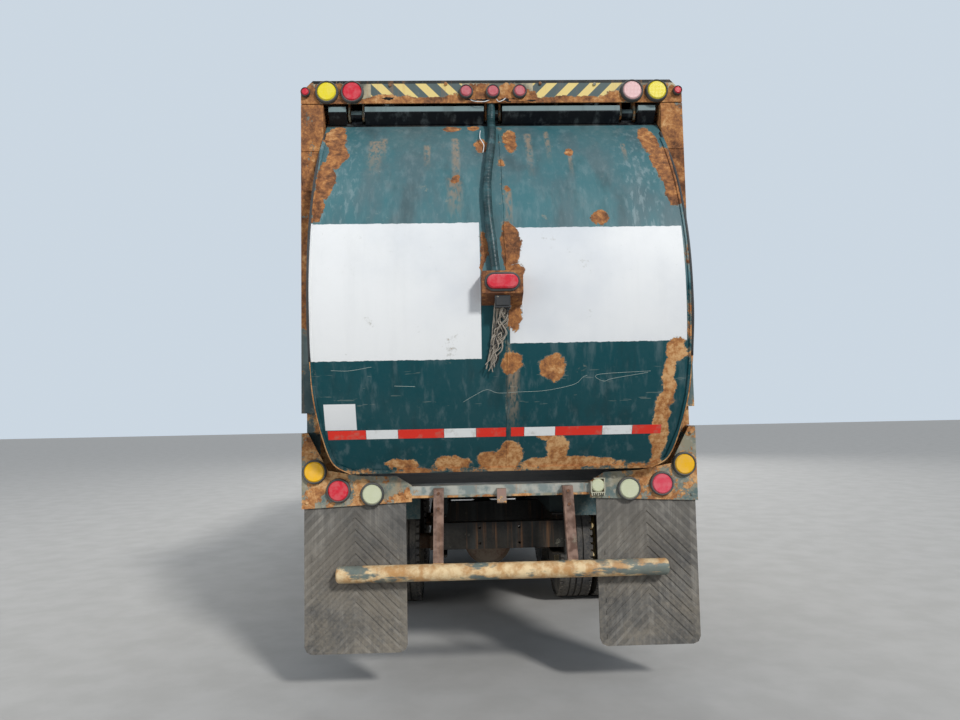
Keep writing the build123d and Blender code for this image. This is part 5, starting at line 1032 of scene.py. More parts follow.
def lathe(mesh, profile, centre, axis, steps):
    """Spins a closed (along, radius) profile round an axis through a centre."""
    along, out = AXES[axis]
    centre = Vector(centre)
    verts = [mesh.verts.new(centre + along * reach + out * radius) for reach, radius in profile]
    edges = [mesh.edges.new(pair) for pair in zip(verts, verts[1:] + verts[:1])]
    bmesh.ops.spin(mesh, geom=verts + edges, cent=centre, axis=along, dvec=(0, 0, 0), angle=2 * pi,
                   steps=steps, use_merge=True)


def head(mesh, centre, radius, depth, axis="Y"):
    """Adds a six-sided bolt's head that stands out of a face, centred on the face."""
    along = AXES[axis][0]
    place = Matrix.Translation(Vector(centre)) @ along.to_track_quat("Z", "Y").to_matrix().to_4x4()
    bmesh.ops.create_cone(mesh, cap_ends=True, segments=6, radius1=radius, radius2=radius * 0.88,
                          depth=depth, matrix=place)


def ripple(base, swing, rate):
    """A tube's taper that swells and narrows along its way."""
    return lambda share: base + swing * sin(share * rate)


def between_points(start, end, steps):
    """Points at equal steps from a start to an end, both included."""
    return [tuple(a + (b - a) * (step / steps) for a, b in zip(start, end)) for step in range(steps + 1)]


def thicken(mesh, verts, thickness):
    """Gives the sheet that the vertices make its thickness."""
    mesh.normal_update()
    faces = list({face for vert in verts for face in vert.link_faces})
    bmesh.ops.solidify(mesh, geom=faces, thickness=thickness)


# The tailgate's tape and welds

TAPE_Z = 1.590
TAPE_RUNS = (
    # from x, to x, finish
    (-1.018, -0.798, "tape_red"), (-0.796, -0.612, "tape_white"), (-0.610, -0.343, "tape_red"),
    (-0.341, -0.155, "tape_white"), (-0.153, 0.022, "tape_red"), (0.051, 0.128, "tape_red"),
    (0.130, 0.311, "tape_white"), (0.313, 0.590, "tape_red"), (0.592, 0.768, "tape_white"),
    (0.770, 0.941, "tape_red"),
)
TAPE_LIFT = 0.0009
# start, length of one colour, number of lengths and height of the decks' tape
DECK_TAPE = (POST_Y + 1.93, 0.306, 7, 1.086)
DECK_EDGE = HALF_WIDTH - 0.004


def skin_patch(mesh, x0, x1, z0, z1, lift):
    """Adds a thin plate that lies on the tailgate's rolled skin."""
    corners = bmesh.ops.create_grid(mesh, x_segments=1, y_segments=1, size=1)["verts"]
    for vert in corners:
        z = z0 + (z1 - z0) * (vert.co.y + 1) / 2
        vert.co = Vector((x0 + (x1 - x0) * (vert.co.x + 1) / 2, gate_y(z, lift), z))
    thicken(mesh, corners, lift + 0.001)


class Tape(bpy.types.Operator):
    """Sticks the red and white reflective tape on the tailgate and the wheel decks"""
    bl_idname = "truck.tape"
    bl_label = "Reflective Tape"

    def execute(self, context):
        width = sizes().tape
        start, run, count, z = DECK_TAPE
        for first, finish in enumerate(("tape_red", "tape_white")):
            gate = bmesh.new()
            for x0, x1, name in TAPE_RUNS:
                if name == finish:
                    skin_patch(gate, x0, x1, TAPE_Z - width / 2, TAPE_Z + width / 2, TAPE_LIFT)
            keep(gate, f"gate_{finish}", finish, "tailgate")
            deck = bmesh.new()
            for index in range(first, count, 2):
                for side in (-1, 1):
                    slab(deck, (side * (DECK_EDGE - 0.002), start + index * run + 0.001, z),
                         (side * (DECK_EDGE + 0.0008), start + (index + 1) * run - 0.001, z + width))
            keep(deck, f"deck_{finish}", finish, "chassis")
        return {"FINISHED"}


# foot and top of the seam's weld, and its steps
SEAM_WELD = (1.372, 3.46, 149)
GATE_WELDS = (
    # short fillets at the lamp box: start (x, z), end (x, z)
    ((-0.118, 2.492), (0.118, 2.492)), ((-0.118, 2.268), (-0.118, 2.49)), ((0.118, 2.268), (0.118, 2.49)),
)
POST_WELDS = (
    # height, radius
    (3.375, 0.006), (2.02, 0.004),
)


class Welds(bpy.types.Operator):
    """Runs the weld beads down the tailgate's seam and across the posts"""
    bl_idname = "truck.welds"
    bl_label = "Seam Welds"

    def execute(self, context):
        bead = sizes().weld
        mesh = bmesh.new()
        foot, top, steps = SEAM_WELD
        points = []
        for step in range(steps + 1):
            z = foot + (top - foot) * step / steps
            wander = 0.0012 * sin(step * 1.9) + 0.002 * sin(step * 0.31)
            points.append((SEAM_X + wander, gate_y(z, -0.0015), z))
        tube(mesh, points, bead, 6, ripple(0.82, 0.18, 900))
        for start, end in GATE_WELDS:
            run = [(x, gate_y(z, -0.001), z) for x, z in between_points(start, end, 18)]
            tube(mesh, run, bead * 0.6, 6, ripple(0.8, 0.2, 260))
        keep(mesh, "gate_weld", "tailgate_paint", "tailgate", smooth=True)
        posts = bmesh.new()
        for side in (-1, 1):
            for z, size in POST_WELDS:
                run = [(side * (HALF_WIDTH - 0.138 + 0.136 * step / 12), POST_Y + 0.001,
                        z + 0.0015 * sin(step * 1.7)) for step in range(13)]
                tube(posts, run, size, 6)
        keep(posts, "post_weld", "post_paint", "chassis", smooth=True)
        return {"FINISHED"}


# Lamps' rubber rings and frames, the tailgate's edges and the small bolts

REAR_LAMPS = (
    # x, z, radius, ring width
    (-1.055, 3.752, 0.060, 0.014), (1.055, 3.752, 0.060, 0.014), (-0.895, 3.752, 0.060, 0.014),
    (0.895, 3.752, 0.060, 0.014), (-0.172, 3.752, 0.036, 0.010), (0.0, 3.752, 0.036, 0.010),
    (0.172, 3.752, 0.036, 0.010), (-1.190, 3.752, 0.024, 0.006), (1.190, 3.752, 0.024, 0.006),
    (-0.995, 1.248, 0.062, 0.013), (0.995, 1.248, 0.062, 0.013), (-1.140, 1.365, 0.062, 0.013),
    (1.140, 1.365, 0.062, 0.013), (-0.790, 1.222, 0.060, 0.013), (0.790, 1.222, 0.060, 0.013),
)
RING_PROFILE = (
    # share of the width from the lens out, distance out of the face
    (0.02, 0.001), (0.02, 0.021), (0.25, 0.026), (0.55, 0.025), (0.85, 0.018), (1.0, 0.008), (1.0, 0.001),
)
WIDEST_GROMMET = 0.019


class Grommets(bpy.types.Operator):
    """Seats each rear lamp in its rubber ring"""
    bl_idname = "truck.grommets"
    bl_label = "Lamp Grommets"

    def execute(self, context):
        scale = sizes().grommet / USUAL_GROMMET
        mesh = bmesh.new()
        for x, z, radius, width in REAR_LAMPS:
            width = min(width * scale, WIDEST_GROMMET)
            profile = [(-out, radius + share * width) for share, out in RING_PROFILE]
            lathe(mesh, profile, (x, POST_Y, z), "Y", 40 if radius > 0.05 else 24)
        keep(mesh, "lamp_grommets", "seal_rubber", "chassis", smooth=True)
        return {"FINISHED"}


def stadium(x, z, half_x, half_z, y):
    """A closed run of points round an oval with straight sides, on a plane across Y."""
    inset = half_x - half_z
    points = []
    for centre, start in ((inset, -pi / 2), (-inset, pi / 2)):
        for step in range(13):
            turn = start + pi * step / 12
            points.append((x + centre + half_z * cos(turn), y, z + half_z * sin(turn)))
    return points + points[:1]


PLATE_BOLTS = (
    # x, z on the lamp plates and the canopy's face
    (-0.62, 1.225), (0.70, 1.300), (-1.185, 1.180), (1.185, 1.180), (-0.575, 1.205), (-1.19, 1.56),
    (1.19, 1.56), (-0.655, 3.800), (0.655, 3.800), (-0.300, 3.806), (0.305, 3.806), (-1.120, 3.795),
    (1.125, 3.793),
)
STRAP_BOLTS = (
    # x, z on the underride bar's straps
    (-0.384, 1.222), (-0.388, 1.130), (0.407, 1.222), (0.412, 1.140), (-0.394, 0.790), (0.429, 0.790),
)
# corners of the plug's two blocks: x and z from the stop lamp's foot, y from its box's rear
PLUG_BLOCKS = (
    ((-0.043, 0.016, -0.078), (0.043, 0.056, -0.010)), ((-0.036, 0.010, -0.066), (0.036, 0.017, -0.024)),
)
WORK_LAMP_PLACE = (0.595, 1.246)
WORK_LAMP_SLATS = 7


class LampDetail(bpy.types.Operator):
    """Rings the high stop lamp, hangs its plug and frames the broken work lamp"""
    bl_idname = "truck.lamp_detail"
    bl_label = "Lamp Details"

    def execute(self, context):
        low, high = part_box("tailgate_lamp")
        box_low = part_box("tailgate_lamp_box")[0]
        middle = (low + high) / 2
        ring = bmesh.new()
        half = (high - low) / 2
        tube(ring, stadium(middle.x, middle.z, half.x + 0.006, half.z + 0.006, box_low.y - 0.002), 0.0085, 10)
        keep(ring, "high_lamp_ring", "seal_rubber", "tailgate", smooth=True)
        foot = Vector((middle.x, box_low.y, middle.z - 0.0625))
        plug = bmesh.new()
        for near, far in PLUG_BLOCKS:
            slab(plug, foot + Vector(near), foot + Vector(far))
        keep(plug, "lamp_plug", "mirror_plastic", "tailgate")
        x, z = WORK_LAMP_PLACE
        casing = bmesh.new()
        back = POST_Y - 0.001
        for side in (-1, 1):
            upright, bar = x + side * 0.041, z + side * 0.043
            slab(casing, (upright - 0.003, POST_Y - 0.024, z - 0.046),
                 (upright + 0.003, back, z + 0.046 - 0.02 * (side < 0)))
            slab(casing, (x - 0.044 + 0.02 * (side > 0), POST_Y - 0.022, bar - 0.003),
                 (x + 0.044, back, bar + 0.003))
        for index in range(WORK_LAMP_SLATS):
            left = x - 0.040 + index * 0.0125
            slab(casing, (left, POST_Y - 0.027, z - 0.062 + 0.004 * (index % 3)),
                 (left + 0.005, back, z - 0.045))
        keep(casing, "work_lamp_frame", "housing_plastic", "chassis")
        return {"FINISHED"}


GATE_TOP_Z = 3.632
GATE_LIP_Z = 1.352
GATE_EDGE = (
    # share of the height from the lip up, distance in from the truck's side
    (0.0, 0.308), (0.03, 0.208), (0.11, 0.158), (0.20, 0.130), (0.29, 0.123), (0.42, 0.120), (0.60, 0.122),
    (0.78, 0.132), (0.93, 0.149),
)
# share of the height where the black strip of painted edge shade takes over from the lip
SHADE_STRIP_START = 0.29
SCRATCHES = (
    # x, z at each bend
    ((-0.976, 1.961), (-0.873, 1.958), (-0.746, 1.977)), ((-0.620, 1.868), (-0.501, 1.863)),
    ((-0.227, 1.770), (-0.159, 1.808), (-0.091, 1.838), (-0.023, 1.818), (0.105, 1.822), (0.235, 1.826),
     (0.371, 1.848), (0.431, 1.868), (0.462, 1.898), (0.489, 1.910)),
    ((0.855, 1.928), (0.552, 1.913), (0.583, 1.875), (0.643, 1.890), (0.840, 1.920)),
)


def edge_run(side, low, high):
    """Points up one edge of the tailgate between two shares of its height."""
    points = []
    for share, inset in GATE_EDGE:
        if low <= share <= high:
            z = GATE_LIP_Z + share * (GATE_TOP_Z - GATE_LIP_Z)
            points.append((side * (HALF_WIDTH - inset - 0.006), gate_y(z, 0.007), z))
    return flowing(points, 8)


class GateEdges(bpy.types.Operator):
    """Lays a black strip of painted shade up the tailgate's raised upper edges, the chipped lip along its lower
    edges, and its scratches
    """
    bl_idname = "truck.gate_edges"
    bl_label = "Tailgate Edges"

    def execute(self, context):
        seals = bmesh.new()
        lips = bmesh.new()
        for side in (-1, 1):
            # black strip standing for the shade along the raised edge, and the lip below it
            tube(seals, edge_run(side, SHADE_STRIP_START, 0.93), 0.008, 8)
            tube(lips, edge_run(side, 0.0, SHADE_STRIP_START), 0.0045, 6)
        keep(seals, "gate_edge_shade", "mirror_plastic", "tailgate", smooth=True)
        keep(lips, "gate_lips", "post_paint", "tailgate", smooth=True)
        marks = bmesh.new()
        for bends in SCRATCHES:
            tube(marks, flowing([(x, gate_y(z), z) for x, z in bends], 10), 0.0012, 4)
        keep(marks, "gate_scratches", "scratch_pale", "tailgate")
        return {"FINISHED"}


class Bolts(bpy.types.Operator):
    """Sets the bolts on the plates, straps and underride bar"""
    bl_idname = "truck.bolts"
    bl_label = "Bolts"

    def execute(self, context):
        size = sizes().bolt
        plates = bmesh.new()
        for x, z in PLATE_BOLTS:
            head(plates, (x, POST_Y - 0.004, z), size, 0.010)
        keep(plates, "plate_bolts", "plate_paint", "chassis")
        straps = bmesh.new()
        for x, z in STRAP_BOLTS:
            head(straps, (x, POST_Y - 0.041, z), size * 0.9, 0.012)
        keep(straps, "strap_bolts", "cast_rust", "chassis")
        return {"FINISHED"}


# Conduit, wires and torn metal at the rear

CONDUIT_STAND = 0.032
CONDUIT_RADIUS = 0.027
CONDUIT_PATH = (
    # x, z; the first lie behind the canopy's face, in the notch of the tailgate's rail
    (-0.010, 3.735), (-0.012, 3.660), (-0.015, 3.590), (-0.014, 3.500), (-0.022, 3.380), (-0.048, 3.200),
    (-0.066, 3.020), (-0.062, 2.840), (-0.046, 2.660), (-0.030, 2.488),
)
WIRES = (
    # radius, then x, z and lift off the skin at each bend
    (0.0045, ((-0.026, 2.350, 0.100), (-0.034, 2.290, 0.052), (-0.030, 2.180, 0.014), (-0.052, 2.080, 0.010),
              (-0.070, 1.955, 0.016))),
    (0.0035, ((-0.020, 2.350, 0.096), (-0.022, 2.280, 0.050), (-0.042, 2.170, 0.012), (-0.036, 2.090, 0.014),
              (-0.062, 1.990, 0.022), (-0.058, 1.935, 0.030))),
    (0.0035, ((-0.034, 2.350, 0.094), (-0.046, 2.270, 0.044), (-0.040, 2.160, 0.016), (-0.064, 2.060, 0.012),
              (-0.086, 1.985, 0.020))),
    (0.0040, ((-0.030, 2.352, 0.098), (-0.040, 2.300, 0.060), (-0.052, 2.200, 0.020), (-0.060, 2.110, 0.016),
              (-0.078, 2.020, 0.014), (-0.094, 1.952, 0.026))),
    (0.0040, ((-0.018, 2.350, 0.092), (-0.012, 2.270, 0.046), (-0.026, 2.150, 0.016), (-0.050, 2.040, 0.020),
              (-0.048, 1.962, 0.028))),
    (0.0032, ((-0.024, 2.350, 0.099), (-0.030, 2.230, 0.030), (-0.046, 2.130, 0.024), (-0.058, 2.030, 0.028),
              (-0.100, 1.975, 0.040))),
    (0.0028, ((-0.028, 2.345, 0.090), (-0.016, 2.240, 0.034), (-0.034, 2.120, 0.022), (-0.046, 2.010, 0.024),
              (-0.082, 1.940, 0.034))),
)
# number of tangled wires, where they start and end, in height
TANGLE, TANGLE_TOP, TANGLE_FOOT = 15, 2.315, 1.955
# torn holes in the canopy, drawn as black discs of painted shade
HOLES = (
    # x, z, half width, half height
    (-0.668, 3.713, 0.034, 0.010), (-0.150, 3.698, 0.030, 0.009), (-0.075, 3.697, 0.042, 0.012),
    (0.092, 3.699, 0.050, 0.013), (0.245, 3.695, 0.030, 0.007),
)
SCRAPS = (
    # from (x, z), to (x, z), width, how far the end bends to the rear
    ((-0.205, 3.698), (-0.120, 3.688), 0.014, 0.007), ((-0.110, 3.697), (-0.060, 3.688), 0.010, 0.006),
    ((0.030, 3.697), (0.085, 3.687), 0.012, 0.007), ((0.090, 3.700), (0.205, 3.690), 0.016, 0.008),
    ((0.160, 3.697), (0.235, 3.688), 0.010, 0.006), ((-0.560, 3.697), (-0.520, 3.690), 0.012, 0.005),
)
CANOPY_WIRES = (
    # x, distance ahead of the post, z at each bend
    ((0.020, 0.006, 3.712), (0.036, -0.012, 3.684), (0.066, -0.008, 3.696), (0.082, 0.004, 3.716)),
    ((-0.150, 0.006, 3.708), (-0.120, -0.010, 3.688), (-0.060, -0.014, 3.683), (-0.020, 0.004, 3.702)),
)
CONDUIT_TIE = (
    # x, lift off the skin, z at each bend
    (-0.085, 0.008, 3.500), (-0.092, 0.022, 3.420), (-0.070, 0.016, 3.360), (-0.078, 0.008, 3.300),
)
FLAP_PLATE = (
    # x, distance to the rear of the post, z
    (-1.212, 0.004, 3.292), (-1.132, 0.022, 3.262), (-1.128, 0.040, 3.180), (-1.140, 0.016, 3.108),
    (-1.205, 0.003, 3.120), (-1.216, 0.008, 3.200),
)
FLAP_PLATE_MIDDLE = (-1.168, 0.026, 3.20)


def conduit_y(z):
    """Y of the conduit's centreline: on the skin, or in the notch behind the canopy's face."""
    return min(gate_y(min(z, 3.60), CONDUIT_STAND), POST_Y + 0.034)


class Conduit(bpy.types.Operator):
    """Runs the taped conduit from inside the canopy down to the stop lamp's box"""
    bl_idname = "truck.conduit"
    bl_label = "Conduit"

    def execute(self, context):
        points = flowing([(x, conduit_y(z), z) for x, z in CONDUIT_PATH], 12)
        mesh = bmesh.new()
        tube(mesh, points, CONDUIT_RADIUS, 16,
             lambda share: 0.97 + 0.03 * sin(share * 420) + 0.03 * sin(share * 37 + 1.0))
        piece = keep(mesh, "conduit", "loom_wrap", None, smooth=True)
        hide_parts("tailgate_conduit")
        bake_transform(piece)
        return {"FINISHED"}


class Wires(bpy.types.Operator):
    """Hangs the frayed wires under the stop lamp's box and below the canopy"""
    bl_idname = "truck.wires"
    bl_label = "Frayed Wires"

    def execute(self, context):
        mesh = bmesh.new()
        for radius, bends in WIRES:
            tube(mesh, flowing([(x, gate_y(z, lift), z) for x, z, lift in bends], 10), radius, 7)
        dark = bmesh.new()
        for index in range(TANGLE):
            end = TANGLE_FOOT + 0.13 * abs(sin(index * 1.7))
            bends = []
            for step in range(9):
                t = step / 8
                z = TANGLE_TOP + (end - TANGLE_TOP) * t
                sway = 0.010 + 0.020 * t * (1 - t) * 4
                x = 0.012 - 0.075 * t * t + sway * sin(index * 2.4 + step * (1.1 + 0.3 * (index % 3)))
                lift = 0.075 * (1 - t) ** 2 + 0.016 + 0.012 * sin(index * 1.3 + step * 1.7)
                bends.append((x, gate_y(z, lift), z))
            tube(dark if index % 5 == 0 else mesh, flowing(bends, 6), 0.0032 + 0.0010 * (index % 2), 6)
        keep(mesh, "lamp_wires", "wire_skin", "tailgate", smooth=True)
        keep(dark, "lamp_wires_dark", "mirror_plastic", "tailgate", smooth=True)
        stray = bmesh.new()
        for bends in CANOPY_WIRES:
            tube(stray, flowing([(x, POST_Y + y, z) for x, y, z in bends], 8), 0.0028, 6)
        keep(stray, "canopy_wires", "tape_white", "chassis", smooth=True)
        tie = bmesh.new()
        tube(tie, flowing([(x, gate_y(z, lift), z) for x, lift, z in CONDUIT_TIE], 8), 0.0030, 6)
        keep(tie, "conduit_tie", "tape_white", "tailgate", smooth=True)
        return {"FINISHED"}


def ribbon(mesh, rows, thickness):
    """Adds a bent strip of sheet from rows of (left, right) points."""
    last = len(rows) - 1
    corners = bmesh.ops.create_grid(mesh, x_segments=1, y_segments=last, size=1)["verts"]
    for vert in corners:
        vert.co = Vector(rows[round((vert.co.y + 1) / 2 * last)][vert.co.x > 0])
    thicken(mesh, corners, thickness)


class TornMetal(bpy.types.Operator):
    """Bends out the torn strips under the canopy and the loose plate on the left post"""
    bl_idname = "truck.torn_metal"
    bl_label = "Torn Metal"

    def execute(self, context):
        mesh = bmesh.new()
        for start, end, width, bend in SCRAPS:
            rows = []
            for step, (x, z) in enumerate(between_points(start, end, 4)):
                t = step / 4
                y = POST_Y + 0.001 - bend * t * t
                half = width / 2 * (1 - 0.7 * t)
                rows.append(((x, y, z - half), (x, y, z + half)))
            ribbon(mesh, rows, 0.0016)
        keep(mesh, "canopy_scraps", "canopy_paint", "chassis")
        # the holes: black discs of painted shade on the canopy's face
        holes = bmesh.new()
        for x, z, half, tall in HOLES:
            ring = bmesh.ops.create_circle(holes, cap_ends=True, segments=18, radius=1)["verts"]
            for step, vert in enumerate(ring):
                ragged = 1 + 0.22 * sin(step * 2.3 + x * 40) + 0.12 * sin(step * 5.1)
                vert.co = (x + half * ragged * vert.co.x, POST_Y - 0.0008, z + tall * ragged * vert.co.y)
        keep(holes, "canopy_holes", "hole_painted_shade", "chassis")
        flap = bmesh.new()
        corners = (*FLAP_PLATE, FLAP_PLATE_MIDDLE)
        *outer, middle = [flap.verts.new((x, POST_Y - rear, z)) for x, rear, z in corners]
        faces = [flap.faces.new((a, b, middle)) for a, b in zip(outer, outer[1:] + outer[:1])]
        bmesh.ops.recalc_face_normals(flap, faces=faces)
        bmesh.ops.solidify(flap, geom=faces, thickness=0.0022)
        keep(flap, "post_flap", "post_paint", "chassis")
        return {"FINISHED"}


# Wheels

NUT_CIRCLE, NUTS = 0.1425, 10
TYRE_STEPS, LUGS = 72, 54
TWIN_WIDTH, TWIN_RIBS = 0.279, 4
# how far a front wheel's nuts stand out from its middle
FRONT_NUT_REACH = 0.087
WHEELS = (
    # body stem, tyre node stem, rim node stem, how far the nuts stand out from the middle of twin rims
    ("front_wheel", "front_tyre", "front_rim", None), ("middle_wheel", "middle_tyres", "middle_rims", 0.020),
    ("rear_wheel", "rear_tyres", "rear_rims", 0.020),
)


def tyre_profile(width, radius, ribs, groove):
    """A closed (along, radius) tyre section with grooves between its tread ribs."""
    half = width / 2
    side = [(0.099, 0.2868), (0.101, 0.304), (half - 0.022, 0.326), (half - 0.006, 0.362),
            (half - 0.001, 0.410), (half - 0.002, radius - 0.085), (half - 0.008, radius - 0.048),
            (half - 0.010, radius - 0.030), (half - 0.020, radius - 0.010), (half - 0.034, radius - 0.002)]
    tread_half = half - 0.034
    pitch = 2 * tread_half / ribs
    crown = []
    for index in range(1, ribs):
        x = tread_half - index * pitch
        drop = 0.002 * (x / tread_half) ** 2
        crown += [(x + 0.0075, radius - drop), (x + 0.0045, radius - groove), (x - 0.0045, radius - groove),
                  (x - 0.0075, radius - drop)]
    return side + crown + [(-x, r) for x, r in reversed(side)]


def tyre_lugs(mesh, x, y, radius, width):
    """Cross-cut blocks on both shoulders of a driven wheel's tyre."""
    for turn in range(LUGS):
        angle = 2 * pi * (turn + 0.5) / LUGS
        for side in (-1, 1):
            block = slab(mesh, (0, -0.020, -0.014), (0.030, 0.020, 0.001))
            left = x + side * (width / 2 - 0.030) - (0.030 if side < 0 else 0)
            place = Matrix.Translation((left, y, radius))
            turned = place @ Matrix.Rotation(angle, 4, "X") @ Matrix.Translation((0, 0, radius - 0.004))
            bmesh.ops.transform(mesh, matrix=turned, verts=block)


class Tyres(bpy.types.Operator):
    """Fits grooved tyres to all the wheels and sets their nuts"""
    bl_idname = "truck.tyres"
    bl_label = "Tyres"

    def execute(self, context):
        added = sizes()
        for body, tyres, rims, nuts in WHEELS:
            twin = nuts is not None
            for side, outward in SIDES.items():
                low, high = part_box(f"{tyres}_{side}")
                radius = (high.z - low.z) / 2
                y = (low.y + high.y) / 2
                width = TWIN_WIDTH if twin else high.x - low.x
                ribs = TWIN_RIBS if twin else added.ribs
                centres = [low.x + width / 2, high.x - width / 2] if twin else [(low.x + high.x) / 2]
                mesh = bmesh.new()
                for x in centres:
                    profile = tyre_profile(width, radius, ribs, added.groove)
                    lathe(mesh, profile, (x, y, radius), "X", TYRE_STEPS)
                    if twin:
                        tyre_lugs(mesh, x, y, radius, width)
                piece = keep(mesh, f"{tyres}_{side}_tread", "tyre_rubber", f"{body}_{side}")
                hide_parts(f"{tyres}_{side}")
                rim_low, rim_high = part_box(f"{rims}_{side}")
                middle = (rim_low.x + rim_high.x) / 2 if twin else centres[0]
                face = middle + outward * (nuts if twin else FRONT_NUT_REACH) + outward * 0.010
                ring = bmesh.new()
                for step in range(NUTS):
                    angle = 2 * pi * step / NUTS
                    place = (face, y + NUT_CIRCLE * sin(angle), radius + NUT_CIRCLE * cos(angle))
                    head(ring, place, 0.017, 0.026, "X")
                keep(ring, f"{body}_{side}_nuts", "cast_rust", f"{body}_{side}")
        return {"FINISHED"}


# Cab and body

SEAT_PADS = (
    # name, distance ahead of the posts, height, half sizes x, y, z, lean in radians
    ("cushion", 8.200, 1.512, 0.232, 0.238, 0.062, 0.04),
    ("back", 7.925, 1.880, 0.228, 0.052, 0.330, 0.12),
)
SEAT_X = 0.560
# corners of a pedestal: x from the seat's middle, y ahead of the posts, z
PEDESTAL = ((-0.150, 8.010, 1.223), (0.150, 8.330, 1.452))
# height and distance ahead of the posts of the windscreen's foot and top, and its half width
SCREEN_CORNERS = ((1.770, 9.3776), (2.600, 9.2309))
SCREEN_HALF = 0.940
# half width, distance ahead of the posts, z from, z to
REAR_WINDOW = (0.520, 7.199, 1.950, 2.450)
DOOR_SEAL_X = 1.051
# distance ahead of the posts and height of each corner of a door's window
DOOR_WINDOW = ((8.585, 1.770), (8.585, 2.525), (9.074, 2.525), (9.1885, 1.770))
# x of each wiper's foot
WIPERS = (-0.780, 0.060)
HEADLAMP_X, HEADLAMP_STATION, HEADLAMP_Z = 0.800, 9.560, 0.665
# distance out of the bumper, radius
BEZEL_PROFILE = ((0.001, 0.086), (0.030, 0.088), (0.032, 0.098), (0.001, 0.104))
STEP_HEIGHTS, STEP_TREADS = (0.488, 0.778), 7
SEAM_RADIUS = 0.0055
# three places (x, z) on the arcs of the body's side and roof, and the seams' distances ahead of the posts
BODY_ARC = ((1.040, 1.190), (1.185, 2.375), (1.090, 3.560))
ROOF_ARC = ((1.090, 3.560), (0.0, 3.660), (-1.090, 3.560))
SEAM_STATIONS = (0.235, 1.280, 2.380, 3.480, 4.565)


def pad(mesh, centre, half, lean):
    """Makes the mesh a stuffed block: full in the middle, drawn in at its edges."""
    bmesh.ops.create_cube(mesh, size=2)
    bmesh.ops.subdivide_edges(mesh, edges=mesh.edges[:], cuts=9, use_grid_fill=True)
    for vert in mesh.verts:
        x, y, z = vert.co
        corner = 1 - 0.10 * (x * x * y * y + y * y * z * z + z * z * x * x)
        crown = 1 + 0.05 * cos(x * pi / 2) * cos(z * pi / 2 if half[2] > half[1] else y * pi / 2)
        vert.co = Vector((x * half[0] * corner, y * half[1] * corner, z * half[2] * corner * crown))
    place = Matrix.Translation(centre) @ Matrix.Rotation(lean, 4, "X")
    bmesh.ops.transform(mesh, matrix=place, verts=mesh.verts[:])


class Seats(bpy.types.Operator):
    """Upholsters the two seats on their pedestals"""
    bl_idname = "truck.seats"
    bl_label = "Seats"

    def execute(self, context):
        for word, side in SIDES.items():
            x = side * SEAT_X
            foot = Vector((x, POST_Y, 0))
            base = bmesh.new()
            slab(base, foot + Vector(PEDESTAL[0]), foot + Vector(PEDESTAL[1]))
            piece = keep(base, f"seat_pedestal_{word}", "dash_plastic", "chassis")
            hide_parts("seats")
            for name, station, z, half_x, half_y, half_z, lean in SEAT_PADS:
                mesh = bmesh.new()
                pad(mesh, (x, POST_Y + station, z), (half_x, half_y, half_z), lean)
                piece = keep(mesh, f"seat_{name}_{word}", "seat_cloth", "chassis", smooth=True)
        return {"FINISHED"}


def seal(mesh, corners, radius):
    """Adds a round rubber seal along a closed row of corners."""
    for start, end in zip(corners, corners[1:] + corners[:1]):
        tube(mesh, [start, end], radius, 8)


def window_corners(half, low_y, low_z, high_y, high_z):
    """Corners of a window that spans the middle, from its foot's left round by its top."""
    return [(-half, low_y, low_z), (-half, high_y, high_z), (half, high_y, high_z), (half, low_y, low_z)]


class CabTrim(bpy.types.Operator):
    """Adds the window rubbers, wipers, bumper lamp bezels and step treads"""
    bl_idname = "truck.cab_trim"
    bl_label = "Cab Trim"

    def execute(self, context):
        seals = bmesh.new()
        (low_z, low_s), (high_z, high_s) = SCREEN_CORNERS
        seal(seals, window_corners(SCREEN_HALF, POST_Y + low_s, low_z, POST_Y + high_s, high_z), 0.011)
        half, station, sill_z, lintel_z = REAR_WINDOW
        seal(seals, window_corners(half, POST_Y + station, sill_z, POST_Y + station, lintel_z), 0.009)
        keep(seals, "cab_seals", "seal_rubber", "chassis", smooth=True)
        for word, side in SIDES.items():
            mesh = bmesh.new()
            seal(mesh, [(side * DOOR_SEAL_X, POST_Y + s, z) for s, z in DOOR_WINDOW], 0.009)
            keep(mesh, f"door_seal_{word}", "seal_rubber", f"cab_door_{word}", smooth=True)
        wipers = bmesh.new()
        lean = (high_s - low_s) / (high_z - low_z)
        for x in WIPERS:
            foot = (x, POST_Y + low_s + 0.010, low_z - 0.030)
            reach = [(x + 0.36 * t, POST_Y + low_s + 0.030 + lean * (0.40 * t), low_z - 0.020 + 0.40 * t)
                     for t in (0, 0.5, 1)]
            tube(wipers, [foot, *reach], 0.007, 6)
            tip = Vector(reach[-1])
            blade = [tip + Vector((0.10 * t, lean * 0.30 * t - 0.010, 0.30 * t)) for t in (-0.9, 0, 0.7)]
            tube(wipers, blade, 0.008, 6)
        keep(wipers, "wipers", "mirror_plastic", "chassis", smooth=True)
        lamps = bmesh.new()
        for x in (-HEADLAMP_X, HEADLAMP_X):
            lathe(lamps, BEZEL_PROFILE, (x, POST_Y + HEADLAMP_STATION, HEADLAMP_Z), "Y", 40)
        keep(lamps, "headlamp_bezels", "rod_chrome", "chassis", smooth=True)
        treads = bmesh.new()
        for side in (-1, 1):
            for z in STEP_HEIGHTS:
                for index in range(STEP_TREADS):
                    x = side * (0.620 + index * 0.058)
                    slab(treads, (x - 0.006, POST_Y + 8.560, z), (x + 0.006, POST_Y + 9.210, z + 0.004))
        keep(treads, "step_treads", "tank_steel", "chassis")
        return {"FINISHED"}


